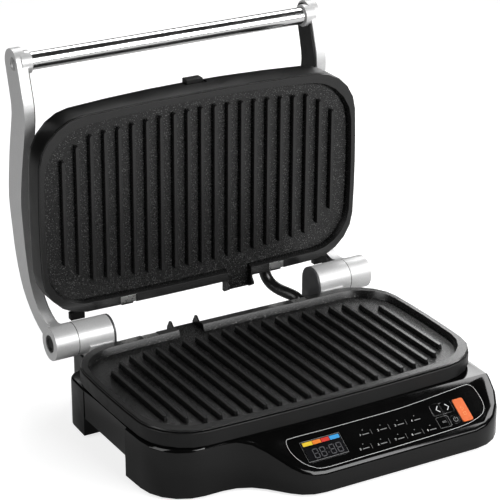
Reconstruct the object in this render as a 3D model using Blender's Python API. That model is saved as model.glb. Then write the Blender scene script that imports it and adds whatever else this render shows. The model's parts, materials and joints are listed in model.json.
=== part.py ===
"""Electric contact grill with two ribbed plates, a swinging lid and a floating head.

Every piece is built in hinge coordinates: X to the right, Y to the rear and Z up,
with zero at the middle of the lid's hinge axis. The pieces of the head are built
in the closed position and turned up into the open one at the end. Lengths are in
metres.
"""

from math import atan2, ceil, cos, hypot, pi, radians, sin, tan

import bmesh
import bpy
from mathutils import Matrix, Vector

MM = 0.001

# Clearances
GAP = 0.3 * MM
OVERRUN = 5.0 * MM

# Plate casting, with its rim at the level of the plate
PLATE_HALF_WIDTH = 164.3 * MM
PLATE_REAR = -24.0 * MM
PLATE_FRONT = -213.5 * MM
PLATE_RADII = (41.0 * MM, 41.0 * MM)
PLATE_BOWS = (4.0 * MM, 2.5 * MM, 4.5 * MM)
RIM_WIDTH = 4.5 * MM
CAVITY_HALF_WIDTH = PLATE_HALF_WIDTH - RIM_WIDTH
REAR_RIM_WIDTH = 9.0 * MM
CAVITY_REAR = PLATE_REAR - REAR_RIM_WIDTH
FRONT_RIM_WIDTH = 10.5 * MM
CAVITY_FRONT = PLATE_FRONT + FRONT_RIM_WIDTH
CAVITY_RADII = (36.0 * MM, 40.0 * MM)
CAVITY_BOWS = (3.5 * MM, 3.0 * MM, 8.5 * MM)
RIM_EDGE = 0.8 * MM
FLANGE_THICKNESS = 2.3 * MM
PAN_WALL = 2.0 * MM
PLATE_DEPTH = 6.5 * MM
PLATE_SLOPE = 2.5 * MM
FLOOR_THICKNESS = 4.0 * MM
RIB_COUNT = 21
RIB_PITCH_SHARE = 0.0892
RIB_PITCH = RIB_PITCH_SHARE * CAVITY_HALF_WIDTH
RIB_DROP = 1.6 * MM
RIB_TOP_WIDTH = 3.2 * MM
RIB_FOOT_WIDTH = 5.8 * MM
RIB_REAR_SPACE = 11.1 * MM
RIB_REAR = CAVITY_REAR - RIB_REAR_SPACE
RIB_FRONT_SPACE = 0.2 * MM
RIB_FRONT = CAVITY_FRONT - RIB_FRONT_SPACE
RIB_TIP_BOW = 7.2 * MM
RIB_TIP_CURVE = 1.5
RIB_CORNER_STEP = 6.5 * MM
RIB_CORNER_CURVE = 1.4
RIB_CORNER_COUNT = 2
NOTCH_LEFT_SHARE = -0.3165
NOTCH_LEFT = NOTCH_LEFT_SHARE * PLATE_HALF_WIDTH
NOTCH_RIGHT_SHARE = -0.1613
NOTCH_RIGHT = NOTCH_RIGHT_SHARE * PLATE_HALF_WIDTH
SPOUT_REACH = 21.0 * MM
SPOUT_WALL = 1.8 * MM
SPOUT_RISE = 2.7 * MM
SPOUT_PEAK = 14.0 * MM
SPOUT_PEAK_LENGTH = 2.5 * MM
KEEPER_CENTRE_SHARE = 0.4900
KEEPER_CENTRE = KEEPER_CENTRE_SHARE * PLATE_HALF_WIDTH
KEEPER_WIDTH = 16.0 * MM
KEEPER_REAR = -23.0 * MM
KEEPER_FRONT = -30.0 * MM
KEEPER_THICKNESS = 1.0 * MM

# Lid hinge
HINGE_HEIGHT = 69.0 * MM
HINGE_RADIUS = 16.0 * MM
HINGE_MARGIN = 5.7 * MM
HINGE_OUTER = PLATE_HALF_WIDTH + HINGE_MARGIN
KNUCKLE_LENGTH = 23.0 * MM
HINGE_SPLIT = HINGE_OUTER - KNUCKLE_LENGTH
HINGE_LENGTH = 60.6 * MM
HINGE_INNER = HINGE_OUTER - HINGE_LENGTH
AXLE_RADIUS = 5.0 * MM
AXLE_OUTER_SPACE = 6.0 * MM
AXLE_OUTER = HINGE_OUTER - AXLE_OUTER_SPACE
AXLE_INNER_SPACE = 6.6 * MM
AXLE_INNER = HINGE_INNER + AXLE_INNER_SPACE
CAP_RADIUS = 8.2 * MM
CAP_DEPTH = 4.0 * MM
CAP_DISH = 1.6 * MM
CAP_RIM_SHARE = 0.8
CAP_DISH_SHARE = 0.6
END_CAP_THICKNESS = 2.0 * MM
PEDESTAL_INSET = 10.0 * MM
PEDESTAL_OUTER = HINGE_SPLIT - PEDESTAL_INSET
LEDGE_REACH = 1.6 * MM
LEDGE_TOP = -3.5 * MM
PEDESTAL_FOOT = -20.0 * MM

# Levels of the two plates' rims
LOWER_RIM = -1.0 * MM
CLOSED_GAP = 2.0 * MM
UPPER_RIM = LOWER_RIM + CLOSED_GAP

# Plastic ring under the lower plate, and wall of the head over the upper one
RING_SPREAD = 0.5 * MM
RING_EDGE = 0.6 * MM
RING_HEIGHT = 15.5 * MM
PLATE_CLEARANCE = 0.5 * MM
GROOVE_HEIGHT = 2.5 * MM
GROOVE_DEPTH = 2.5 * MM
SPOUT_CLEARANCE = 1.5 * MM

# Heating parts under each plate
ELEMENT_RADIUS = 3.2 * MM
ELEMENT_BEND = 22.0 * MM
ELEMENT_SIDE_SPACE = 36.3 * MM
ELEMENT_HALF_WIDTH = PLATE_HALF_WIDTH - ELEMENT_SIDE_SPACE
ELEMENT_REAR_SPACE = 38.0 * MM
ELEMENT_REAR = PLATE_REAR - ELEMENT_REAR_SPACE
ELEMENT_FRONT_SPACE = 27.5 * MM
ELEMENT_FRONT = PLATE_FRONT + ELEMENT_FRONT_SPACE
ELEMENT_TERMINALS = (25.0 * MM, 45.0 * MM)
TERMINAL_BEND = 6.0 * MM
TERMINAL_DROP = 16.0 * MM
REFLECTOR_THICKNESS = 0.8 * MM
REFLECTOR_HOLE = 5.4 * MM
DECK_INSET = 2.0 * MM
SENSOR_RADIUS = 6.0 * MM
SENSOR_FLANGE = 9.0 * MM
SENSOR_HEIGHT = 14.0 * MM
SENSOR_CENTRE = (PLATE_REAR + PLATE_FRONT) / 2

# Base body
BODY_MARGIN = 1.9 * MM
BODY_HALF_WIDTH = PLATE_HALF_WIDTH + BODY_MARGIN
BODY_REAR = PLATE_REAR
BODY_BOW = 4.0 * MM
BODY_FRONT_MARGIN = 1.0 * MM
BODY_FRONT = PLATE_FRONT - BODY_FRONT_MARGIN
BODY_MIDDLE = (BODY_REAR + BODY_FRONT) / 2
BODY_REAR_RADIUS = 16.0 * MM
BODY_SIDE_RADIUS = 700.0 * MM
BODY_FRONT_RADIUS = 42.0 * MM
BODY_BOTTOM = -66.0 * MM
BODY_WALL = 6.0 * MM
BODY_EDGE = 3.5 * MM
DECK_THICKNESS = 3.0 * MM
NOSE_ROOT_INSET = 78.2 * MM
NOSE_ROOT = NOSE_ROOT_INSET - BODY_HALF_WIDTH
NOSE_SWEEP = 38.0 * MM
NOSE_LEFT = NOSE_ROOT + NOSE_SWEEP
NOSE_SETBACK = 1.2 * MM
NOSE_RIGHT = BODY_HALF_WIDTH - NOSE_SETBACK
NOSE_LENGTH = 46.0 * MM
NOSE_FRONT = BODY_FRONT - NOSE_LENGTH
NOSE_LEFT_RADIUS = 36.0 * MM
NOSE_ROOT_RADIUS = 45.0 * MM
NOSE_RIGHT_RADIUS = 42.0 * MM
RECESS_DEPTH = 3.0 * MM
ARCH_REAR = -64.0 * MM
FRONT_FOOT_LENGTH = 66.5 * MM
ARCH_FRONT = BODY_FRONT + FRONT_FOOT_LENGTH
ARCH_TOP = -48.0 * MM
CORNER_FOOT_WIDTH = 18.0 * MM
BLOCK_MARGIN = 2.0 * MM
BLOCK_HALF_WIDTH = PEDESTAL_OUTER + BLOCK_MARGIN
BLOCK_REAR = 16.0 * MM
BLOCK_FRONT = -45.0 * MM
BLOCK_BOTTOM = -63.0 * MM
BLOCK_LEG = 34.0 * MM
BLOCK_LEG_DEPTH = 34.0 * MM
BLOCK_WALL = 3.0 * MM
MIDDLE_DECK = -28.0 * MM
COVER_THICKNESS = 2.0 * MM
COVER_LEVEL = -48.5 * MM
COVER_RISER = 3.0 * MM
FOOT_RADIUS = 8.0 * MM
FOOT_TAPER = 1.0 * MM
REAR_FOOT_INSET = 17.0 * MM
REAR_FOOT_X = BLOCK_HALF_WIDTH - REAR_FOOT_INSET
REAR_FOOT_Y = 0.0
FRONT_FOOT_LEFT_INSET = 46.0 * MM
FRONT_FOOT_LEFT = NOSE_LEFT + FRONT_FOOT_LEFT_INSET
FRONT_FOOT_RIGHT_INSET = 45.0 * MM
FRONT_FOOT_RIGHT = NOSE_RIGHT - FRONT_FOOT_RIGHT_INSET
FRONT_FOOT_SETBACK = 17.5 * MM
FRONT_FOOT_Y = NOSE_FRONT + FRONT_FOOT_SETBACK

# Control panel on the sloping top of the nose
PANEL_SPACE = 4.5 * MM
PANEL_TOP = PLATE_FRONT - PANEL_SPACE
PANEL_TOP_LEVEL = -19.6 * MM
PANEL_SLOPE = radians(33.0)
PANEL_LENGTH = 44.7 * MM
FASCIA_THICKNESS = 1.6 * MM
FASCIA_LEFT_OVERLAP = 6.5 * MM
FASCIA_LEFT = NOSE_LEFT - FASCIA_LEFT_OVERLAP
FASCIA_RIGHT_SPACE = 19.0 * MM
FASCIA_RIGHT = NOSE_RIGHT - FASCIA_RIGHT_SPACE
ROOF_THICKNESS = 3.0 * MM
WINDOW_SPACE = 14.6 * MM
WINDOW_LEFT = FASCIA_LEFT + WINDOW_SPACE
WINDOW_LENGTH = 38.9 * MM
WINDOW_RIGHT = WINDOW_LEFT + WINDOW_LENGTH
WINDOW_TOP = 17.5 * MM
WINDOW_BOTTOM = 38.2 * MM
WINDOW_LEDGE = 2.0 * MM
KEY_ROW_TOP = 15.2 * MM
KEY_ROW_MIDDLE = 27.2 * MM
KEY_ROW_BOTTOM = 40.2 * MM
KEY_SPACE = 1.6 * MM
START_SPACE = 18.6 * MM
START_RIGHT = FASCIA_RIGHT - START_SPACE
START_WIDTH = 11.2 * MM
START_LEFT = START_RIGHT - START_WIDTH
ARROWS_SPACE = 2.1 * MM
ARROWS_RIGHT = START_LEFT - ARROWS_SPACE
ARROWS_WIDTH = 22.2 * MM
ARROWS_LEFT = ARROWS_RIGHT - ARROWS_WIDTH
POWER_INSET = 4.1 * MM
POWER_X = ARROWS_RIGHT - POWER_INSET
POWER_DOWN = 35.0 * MM
POWER_RADIUS = 4.6 * MM
START_TOP = 15.8 * MM
START_BOTTOM = 39.6 * MM
KEY_PROUD = 0.5 * MM
KEY_FLANGE = 0.6 * MM
KEY_FLANGE_THICKNESS = 1.0 * MM
KEY_TRAVEL = 0.8 * MM
KEY_STEM = 2.0 * MM
KEY_CORNER = 1.6 * MM
KEY_WELL_MARGIN = 3.0 * MM
BOARD_THICKNESS = 1.6 * MM
BOARD_MARGIN = 2.5 * MM

# Power board on the bottom cover
POWER_BOARD_INSET = 91.2 * MM
POWER_BOARD_X = BODY_HALF_WIDTH - POWER_BOARD_INSET
POWER_BOARD_Y = -130.0 * MM
POWER_BOARD_WIDTH = 80.0 * MM
POWER_BOARD_DEPTH = 55.0 * MM
STANDOFF_HEIGHT = 5.0 * MM
STANDOFF_RADIUS = 3.0 * MM
RELAY_WIDTH = 16.0 * MM
RELAY_HEIGHT = 12.0 * MM
RELAY_COUNT = 3
RELAY_FIRST_SHARE = 0.4
RELAY_PITCH_SHARE = 1.5
RELAY_LENGTH_SHARE = 1.5

# Drip tray in the rear block
TRAY_LEFT_MARGIN = 30.0 * MM
TRAY_LEFT = NOTCH_LEFT - TRAY_LEFT_MARGIN
TRAY_RIGHT_MARGIN = 29.5 * MM
TRAY_RIGHT = NOTCH_RIGHT + TRAY_RIGHT_MARGIN
TRAY_FRONT = -41.0 * MM
TRAY_BOTTOM = -59.0 * MM
TRAY_HEIGHT = 20.0 * MM
TRAY_WALL = 1.8 * MM
TRAY_LIP = 1.5 * MM
TRAY_LIP_REACH = 6.0 * MM
DRAIN_REAR = -2.0 * MM

# Cord inlet, and the conduit to the head
INLET_INSET = 77.0 * MM
INLET_X = BLOCK_HALF_WIDTH - INLET_INSET
INLET_LEVEL = -42.0 * MM
INLET_RADIUS = 7.0 * MM
INLET_FLANGE = 10.0 * MM
INLET_FLANGE_THICKNESS = 2.5 * MM
INLET_BORE = 3.8 * MM
INLET_LENGTH = 12.0 * MM
CONDUIT_RADIUS = 5.7 * MM
CONDUIT_INSET = 8.9 * MM
CONDUIT_BASE_X = HINGE_INNER - CONDUIT_INSET
CONDUIT_BASE_Y = 8.0 * MM
CONDUIT_SHIFT = 18.0 * MM
CONDUIT_HEAD_X = CONDUIT_BASE_X - CONDUIT_SHIFT
CONDUIT_HEAD_DEPTH = 28.4 * MM
CONDUIT_LEAD = 2.0 * MM
CONDUIT_SAG = 35.0 * MM
CONDUIT_RISE = 10.7 * MM
GLAND_RADIUS = 8.0 * MM
GLAND_HEIGHT = 9.0 * MM
GLAND_RISE = 5.0 * MM
GLAND_NECK = 6.5 * MM
HEAD_GLAND_LENGTH = 2.5 * MM

# Arms and handle, as they stand with the lid open
ARM_INSET = 10.0 * MM
ARM_OUTER = HINGE_OUTER - ARM_INSET
ARM_THICKNESS = 10.0 * MM
ARM_INNER = ARM_OUTER - ARM_THICKNESS
ARM_RISE = 244.6 * MM
ARM_REACH = 88.3 * MM
ARM_WIDTH = 29.0 * MM
ARM_STEPS = 3
ARM_SPINE_SHARES = (
    (0.00, 0.000, 1.00),
    (0.30, -0.006, 0.62),
    (0.58, 0.036, 0.58),
    (0.79, 0.119, 0.72),
    (0.906, 0.229, 0.84),
    (0.963, 0.343, 0.90),
    (1.0, 0.448, 0.95),
    (0.957, 0.570, 0.97),
    (0.898, 0.672, 1.0),
    (0.830, 0.775, 1.0),
    (0.822, 0.835, 1.0),
    (0.861, 0.895, 0.97),
)
ARM_TOP_Y = 83.5 * MM
ARM_TOP_RADIUS = 13.6 * MM
COVER_STRIP_THICKNESS = 1.5 * MM
COVER_STRIP_INSET = 2.2 * MM
TUBE_Y = 79.1 * MM
TUBE_RADIUS = 8.25 * MM
TUBE_WALL = 1.5 * MM
BOSS_LENGTH = 5.5 * MM
TUBE_SHOULDER = ARM_INNER - BOSS_LENGTH
TUBE_SEAT_DEPTH = 7.0 * MM
TUBE_SEAT = ARM_OUTER - TUBE_SEAT_DEPTH
BOSS_RADIUS = 10.8 * MM
PLUG_LENGTH = 14.0 * MM
SCREW_HEAD_RADIUS = 5.9 * MM
SCREW_HEAD_HEIGHT = 2.2 * MM
SCREW_SHANK_RADIUS = 2.4 * MM
SCREW_LENGTH = 14.0 * MM
SCREW_RECESS = 3.6 * MM

# Head: pivot, lift and housing, in the closed position
PIVOT_FORWARD = 152.3 * MM
PIVOT_RISE = 69.7 * MM
LID_TURN = radians(95.07)
HEAD_TURN = radians(89.33)
PIN_RADIUS = 4.0 * MM
PIN_COVER = 3.0 * MM
PIN_OUTER = ARM_OUTER - PIN_COVER
PIN_REACH = 14.0 * MM
PIN_INNER = ARM_INNER - PIN_REACH
PIN_HEAD = 6.0 * MM
PIN_HEAD_THICKNESS = 1.5 * MM
BUSH_WALL = 1.4 * MM
LUG_SPACE = 3.0 * MM
LUG_OUTER = ARM_INNER - LUG_SPACE
LUG_THICKNESS = 9.0 * MM
LUG_INNER = LUG_OUTER - LUG_THICKNESS
LUG_TOP_RADIUS = 11.0 * MM
LUG_FOOT_WIDTH = 44.0 * MM
LUG_FOOT = 33.0 * MM
HEAD_HEIGHT = 47.4 * MM
HEAD_CROWN = 12.0 * MM
HEAD_LEDGE = 18.0 * MM
DOME_INSET = 45.0 * MM
DOME_MIDDLE_INSET = 80.0 * MM
DOME_SHARES = ((0.0, 0.60), (0.03, 0.78), (0.10, 0.91), (0.22, 0.975), (0.45, 1.0), (1.0, 1.0))
DOME_INNER_SHARES = ((0.0, 0.86), (0.2, 0.92), (1.0, 0.94))
LUG_STOP_INSET = 15.0 * MM
LUG_STOP_CENTRE = LUG_OUTER - LUG_STOP_INSET
LUG_STOP_WIDTH = 14.0 * MM
LUG_STOP_REACH = 5.0 * MM
LUG_STOP_HEIGHT = 6.0 * MM
CATCH_WIDTH = 12.0 * MM
CATCH_REACH = 1.0 * MM

# Latches that free the plates
LATCH_X = 6.0 * MM
LATCH_WIDTH = 17.0 * MM
LATCH_LOW = 27.5 * MM
LATCH_HIGH = 37.0 * MM
LATCH_PROUD = 3.2 * MM
LATCH_RECESS = 1.5 * MM
LATCH_FRAME = 3.0 * MM
LATCH_FLANGE = 2.0 * MM
SIDE_LATCH_Y = -120.0 * MM
SIDE_LATCH_LOW = -38.0 * MM
SIDE_LATCH_HIGH = -29.0 * MM
SIDE_LATCH_PROUD = 2.6 * MM

# Smoothness of round shapes
CORNER_STEPS = 5
ROUND_STEPS = 24
SMALL_ROUND_STEPS = 16
PIN_STEPS = 20
STANDOFF_STEPS = 12
STEM_STEPS = 8
SMALL_CORNER_STEPS = 2
EDGE_STEPS = 3
SIDE_SHARES = (0.67, 0.33, 0.0)
LEAST_CORNER_SHARE = 0.1
BEND_STEPS = 5
SHARP_ANGLE = radians(35.0)
WALL_SLOPE = 0.3
SAME_POINT = GAP / 10
SAME_PLANE = GAP / 100

FINISHES = {
    "gloss_black": ((0.012, 0.012, 0.013), 0.14, 0.0),
    "satin_black": ((0.020, 0.020, 0.021), 0.45, 0.0),
    "non_stick": ((0.045, 0.047, 0.048), 0.42, 0.35),
    "satin_silver": ((0.62, 0.62, 0.62), 0.32, 0.9),
    "polished_steel": ((0.78, 0.78, 0.78), 0.12, 1.0),
    "dark_grey": ((0.06, 0.06, 0.065), 0.38, 0.0),
    "plain_steel": ((0.50, 0.50, 0.50), 0.40, 1.0),
    "element_steel": ((0.22, 0.20, 0.18), 0.50, 0.9),
    "sheet_metal": ((0.66, 0.67, 0.68), 0.30, 1.0),
    "circuit_board": ((0.02, 0.12, 0.05), 0.50, 0.0),
    "orange_key": ((0.90, 0.20, 0.02), 0.35, 0.0),
    "smoked_lens": ((0.01, 0.01, 0.012), 0.08, 0.0),
    "rubber": ((0.03, 0.03, 0.03), 0.80, 0.0),
}


def clear_scene():
    for item in list(bpy.data.objects):
        bpy.data.objects.remove(item, do_unlink=True)


def material(name):
    found = bpy.data.materials.get(name)
    if found:
        return found
    colour, roughness, metallic = FINISHES[name]
    made = bpy.data.materials.new(name)
    made.use_nodes = True
    shader = made.node_tree.nodes["Principled BSDF"]
    shader.inputs["Base Color"].default_value = (*colour, 1.0)
    shader.inputs["Roughness"].default_value = roughness
    shader.inputs["Metallic"].default_value = metallic
    return made


def add_object(name, mesh, finish="plain_steel"):
    """Turn a bmesh into an object with outward faces and its own material."""
    bmesh.ops.recalc_face_normals(mesh, faces=mesh.faces)
    data = bpy.data.meshes.new(name)
    mesh.to_mesh(data)
    mesh.free()
    data.materials.append(material(finish))
    made = bpy.data.objects.new(name, data)
    bpy.context.scene.collection.objects.link(made)
    return made


def smooth(item):
    item.data.shade_smooth()
    item.data.set_sharp_from_angle(angle=SHARP_ANGLE)
    return item


def combine(target, tools, operation):
    """Cut, join or trim the target with each tool, then drop the tools."""
    for tool in tools:
        modifier = target.modifiers.new(tool.name, "BOOLEAN")
        modifier.operation = operation
        modifier.object = tool
    bpy.context.view_layer.update()
    graph = bpy.context.evaluated_depsgraph_get()
    result = bpy.data.meshes.new_from_object(target.evaluated_get(graph))
    target.modifiers.clear()
    target.data = result
    for tool in tools:
        bpy.data.objects.remove(tool, do_unlink=True)
    return target


def cut(target, *tools):
    return combine(target, tools, "DIFFERENCE")


def join(target, *tools):
    return combine(target, tools, "UNION")


def moved(item, matrix):
    item.data.transform(matrix)
    return item


def mirrored(item, name):
    """A left-hand copy of a right-hand piece, with its own mesh."""
    data = item.data.copy()
    data.transform(Matrix.Scale(-1.0, 4, (1.0, 0.0, 0.0)))
    data.flip_normals()
    made = bpy.data.objects.new(name, data)
    bpy.context.scene.collection.objects.link(made)
    return made


def fillet(corners, closed=True, fineness=CORNER_STEPS):
    """Round each corner of a path; a corner is (point, radius)."""
    count = len(corners)
    path = []
    for index, (point, radius) in enumerate(corners):
        here = Vector(point)
        end = not closed and index in (0, count - 1)
        if end or radius == 0:
            path.append(here)
            continue
        before = (Vector(corners[index - 1][0]) - here).normalized()
        after = (Vector(corners[(index + 1) % count][0]) - here).normalized()
        half = before.angle(after) / 2
        turn = pi - 2 * half
        reach = radius / tan(half)
        centre = here + (before + after).normalized() * (radius / sin(half))
        steps = max(2, ceil(turn / (pi / 2) * fineness))
        first = here + before * reach - centre
        last = here + after * reach - centre
        for step in range(steps + 1):
            share = step / steps
            blend = (sin((1 - share) * turn) * first + sin(share * turn) * last) / sin(turn)
            path.append(centre + blend)
    return path


def offset(outline, distance):
    """Move a flat closed outline inwards by a distance; the outline runs anticlockwise."""
    count = len(outline)
    moved_points = []
    for index, point in enumerate(outline):
        before = (point - outline[index - 1]).normalized()
        after = (outline[(index + 1) % count] - point).normalized()
        along = (before + after).normalized()
        inward = Vector((-along.y, along.x))
        spread = max(inward.dot(Vector((-before.y, before.x))), 0.5)
        moved_points.append(point + inward * (distance / spread))
    return moved_points


def bowed_rectangle(half_width, rear, front, radii, bows, inset=0.0):
    """Rounded rectangle with bowed edges, from the right side round by the rear."""
    middle = (rear + front) / 2
    half_depth = (rear - front) / 2
    wide = half_width - inset
    deep = half_depth - inset
    side_bow, rear_bow, front_bow = bows
    points = []
    for sign, radius, bow in ((1, radii[0], rear_bow), (-1, radii[1], front_bow)):
        round_radius = max(radius - inset, deep * LEAST_CORNER_SHARE)
        quarter = [(wide, 0.0), (wide, (deep - round_radius) / 2)]
        for step in range(CORNER_STEPS + 1):
            angle = pi / 2 * step / CORNER_STEPS
            quarter.append((wide - round_radius * (1 - cos(angle)), deep - round_radius * (1 - sin(angle))))
        straight = wide - round_radius
        quarter += [(straight * share, deep) for share in SIDE_SHARES]
        half = quarter + [(-x, y) for x, y in reversed(quarter[:-1])]
        bent = []
        for x, y in half:
            across = side_bow * (1 - (y / deep) ** 2)
            along = bow * (1 - (x / wide) ** 2) if abs(x) < straight + round_radius else 0.0
            along *= y / deep
            bent.append(Vector((x * (1 + across / wide), middle + sign * (y + along))))
        points += bent[:-1] if sign > 0 else bent[:0:-1]
    return points


def plate_outline(inset=0.0):
    """Outer edge of the plate's flange."""
    return bowed_rectangle(PLATE_HALF_WIDTH, PLATE_REAR, PLATE_FRONT, PLATE_RADII, PLATE_BOWS, inset)


def cavity_outline(inset=0.0):
    """Inner edge of the plate's rim, where its wall slopes down to the floor."""
    return bowed_rectangle(CAVITY_HALF_WIDTH, CAVITY_REAR, CAVITY_FRONT, CAVITY_RADII, CAVITY_BOWS, inset)


def well_outline():
    """Room for the plate's pan inside the ring or the head."""
    return cavity_outline(-PAN_WALL - PLATE_CLEARANCE)


def rear_edge(spread=0.0):
    """Level of the plate's rear edge at its middle."""
    return PLATE_REAR + PLATE_BOWS[1] + spread


def front_edge(spread=0.0):
    return PLATE_FRONT - PLATE_BOWS[2] - spread


def add_ring(mesh, outline, level):
    """Vertices of an outline at one level, or at a level that depends on x."""
    height = level if callable(level) else lambda x: level
    return [mesh.verts.new((point.x, point.y, height(point.x))) for point in outline]


def skin(mesh, lower, upper):
    count = len(lower)
    for index in range(count):
        after = (index + 1) % count
        mesh.faces.new((lower[index], lower[after], upper[after], upper[index]))


def ladder(mesh, ring):
    """Close a ring whose rear half mirrors its front half, rung by rung."""
    count = len(ring)
    half = count // 2
    mesh.faces.new((ring[0], ring[1], ring[count - 1]))
    for index in range(1, half - 1):
        mesh.faces.new((ring[index], ring[index + 1], ring[count - index - 1], ring[count - index]))
    mesh.faces.new((ring[half - 1], ring[half], ring[half + 1]))


def loft(name, levels, finish, closed_loop=False):
    """Solid through a list of (outline, level); capped, or closed into a ring."""
    mesh = bmesh.new()
    rings = [add_ring(mesh, outline, level) for outline, level in levels]
    for lower, upper in zip(rings, rings[1:]):
        skin(mesh, lower, upper)
    if closed_loop:
        skin(mesh, rings[-1], rings[0])
    else:
        mesh.faces.new(rings[0])
        mesh.faces.new(rings[-1])
    return add_object(name, mesh, finish)


def prism(name, outline, low, high, finish="plain_steel"):
    return loft(name, ((outline, low), (outline, high)), finish)


def box(name, low, high, finish="plain_steel"):
    outline = [Vector((low[0], low[1])), Vector((high[0], low[1]))]
    outline += [Vector((high[0], high[1])), Vector((low[0], high[1]))]
    return prism(name, outline, low[2], high[2], finish)


def side_prism(name, profile, left, right, finish="plain_steel"):
    """Solid with a profile in the YZ plane, from one x to another."""
    mesh = bmesh.new()
    ends = [[mesh.verts.new((x, y, z)) for y, z in profile] for x in (left, right)]
    skin(mesh, *ends)
    for end in ends:
        mesh.faces.new(end)
    return add_object(name, mesh, finish)


def turned(name, profile, place, finish="plain_steel", steps=ROUND_STEPS):
    """Solid of revolution from (radius, height) points, then placed by a matrix."""
    mesh = bmesh.new()
    rings = []
    for radius, height in profile:
        if radius == 0:
            rings.append([mesh.verts.new((0, 0, height))])
            continue
        turn = [2 * pi * step / steps for step in range(steps)]
        rings.append([mesh.verts.new((radius * cos(a), radius * sin(a), height)) for a in turn])
    pairs = list(zip(rings, rings[1:]))
    if len(rings[0]) > 1 and len(rings[-1]) > 1:
        pairs.append((rings[-1], rings[0]))
    for lower, upper in pairs:
        if len(lower) > 1 and len(upper) > 1:
            skin(mesh, lower, upper)
            continue
        tip, rim = (lower[0], upper) if len(lower) == 1 else (upper[0], lower)
        for index in range(steps):
            mesh.faces.new((tip, rim[index], rim[(index + 1) % steps]))
    made = add_object(name, mesh, finish)
    return smooth(moved(made, place))


def rod(name, radius, start, length, place, finish="plain_steel", steps=ROUND_STEPS):
    profile = ((0, start), (radius, start), (radius, start + length), (0, start + length))
    return turned(name, profile, place, finish, steps)


def pipe(name, radius, bore, start, length, place, finish="plain_steel", steps=ROUND_STEPS):
    end = start + length
    profile = ((bore, start), (radius, start), (radius, end), (bore, end))
    return turned(name, profile, place, finish, steps)


def along_x(y=0.0, z=0.0):
    """Matrix that lays a turned piece's height along +X through (y, z)."""
    return Matrix.Translation((0, y, z)) @ Matrix.Rotation(pi / 2, 4, "Y")


def along_y(x=0.0, z=0.0):
    """Matrix that lays a turned piece's height along +Y through (x, z)."""
    return Matrix.Translation((x, 0, z)) @ Matrix.Rotation(-pi / 2, 4, "X")


def upright(x, y):
    return Matrix.Translation((x, y, 0))


def bent_tube(name, path, radius, finish, resolution=2):
    curve = bpy.data.curves.new(name, "CURVE")
    curve.dimensions = "3D"
    curve.bevel_depth = radius
    curve.bevel_resolution = resolution
    curve.use_fill_caps = True
    line = curve.splines.new("POLY")
    line.points.add(len(path) - 1)
    for point, target in zip(path, line.points):
        target.co = (*point, 1.0)
    made = bpy.data.objects.new(name, curve)
    bpy.context.scene.collection.objects.link(made)
    bpy.context.view_layer.update()
    graph = bpy.context.evaluated_depsgraph_get()
    data = bpy.data.meshes.new_from_object(made.evaluated_get(graph))
    bpy.data.objects.remove(made, do_unlink=True)
    mesh = bmesh.new()
    mesh.from_mesh(data)
    bmesh.ops.remove_doubles(mesh, verts=mesh.verts, dist=SAME_POINT)
    return smooth(add_object(name, mesh, finish))


def lower_place():
    return Matrix.Translation((0, 0, LOWER_RIM))


def upper_place():
    """The upper plate is the lower one turned over about the Y axis."""
    return Matrix.Translation((0, 0, UPPER_RIM)) @ Matrix.Rotation(pi, 4, "Y")


def rib_tips(index):
    """Rear and front ends of a rib, counted from the middle one."""
    steps = abs(index)
    straight = (RIB_COUNT - 1) // 2 - RIB_CORNER_COUNT
    setback = RIB_TIP_BOW * (steps / straight) ** RIB_TIP_CURVE
    setback += RIB_CORNER_STEP * max(0, steps - straight) ** RIB_CORNER_CURVE
    return RIB_REAR - setback, RIB_FRONT + setback


def rib(index):
    """One rib with sloping sides and round ends, sunk a little into the floor."""
    rear, front = rib_tips(index)
    x = index * RIB_PITCH
    mesh = bmesh.new()
    rings = []
    for width, level in ((RIB_FOOT_WIDTH, -PLATE_DEPTH - RIM_EDGE), (RIB_TOP_WIDTH, -RIB_DROP)):
        half = width / 2
        outline = []
        for centre, sign in ((rear - RIB_FOOT_WIDTH / 2, 1), (front + RIB_FOOT_WIDTH / 2, -1)):
            for step in range(4):
                angle = pi * step / 3
                outline.append(Vector((x + sign * half * cos(angle), centre + sign * half * sin(angle))))
        rings.append(add_ring(mesh, outline, level))
    skin(mesh, *rings)
    for ring in rings:
        mesh.faces.new(ring)
    return add_object("rib", mesh)


def spout():
    """Floor and two upright ears that carry fat past the plate's rear edge."""
    floor = -PLATE_DEPTH
    wall_rear = CAVITY_REAR + CAVITY_BOWS[1]
    tip = wall_rear + SPOUT_REACH
    low = (NOTCH_LEFT - SPOUT_WALL, wall_rear - PLATE_SLOPE, floor - FLOOR_THICKNESS / 2)
    pieces = [box("spout_floor", low, (NOTCH_RIGHT + SPOUT_WALL, tip, floor))]
    peak = wall_rear + SPOUT_PEAK
    rise = rear_edge(SPOUT_WALL)
    start = wall_rear + SPOUT_WALL
    ear = ((start, floor - RIM_EDGE), (tip, floor - RIM_EDGE), (tip, floor + SPOUT_WALL))
    ear += ((peak + SPOUT_PEAK_LENGTH, SPOUT_RISE), (peak, SPOUT_RISE), (rise, -RIM_EDGE), (start, -RIM_EDGE))
    for x in (NOTCH_LEFT - SPOUT_WALL, NOTCH_RIGHT):
        pieces.append(side_prism("spout_ear", ear, x, x + SPOUT_WALL))
    return pieces


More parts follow.
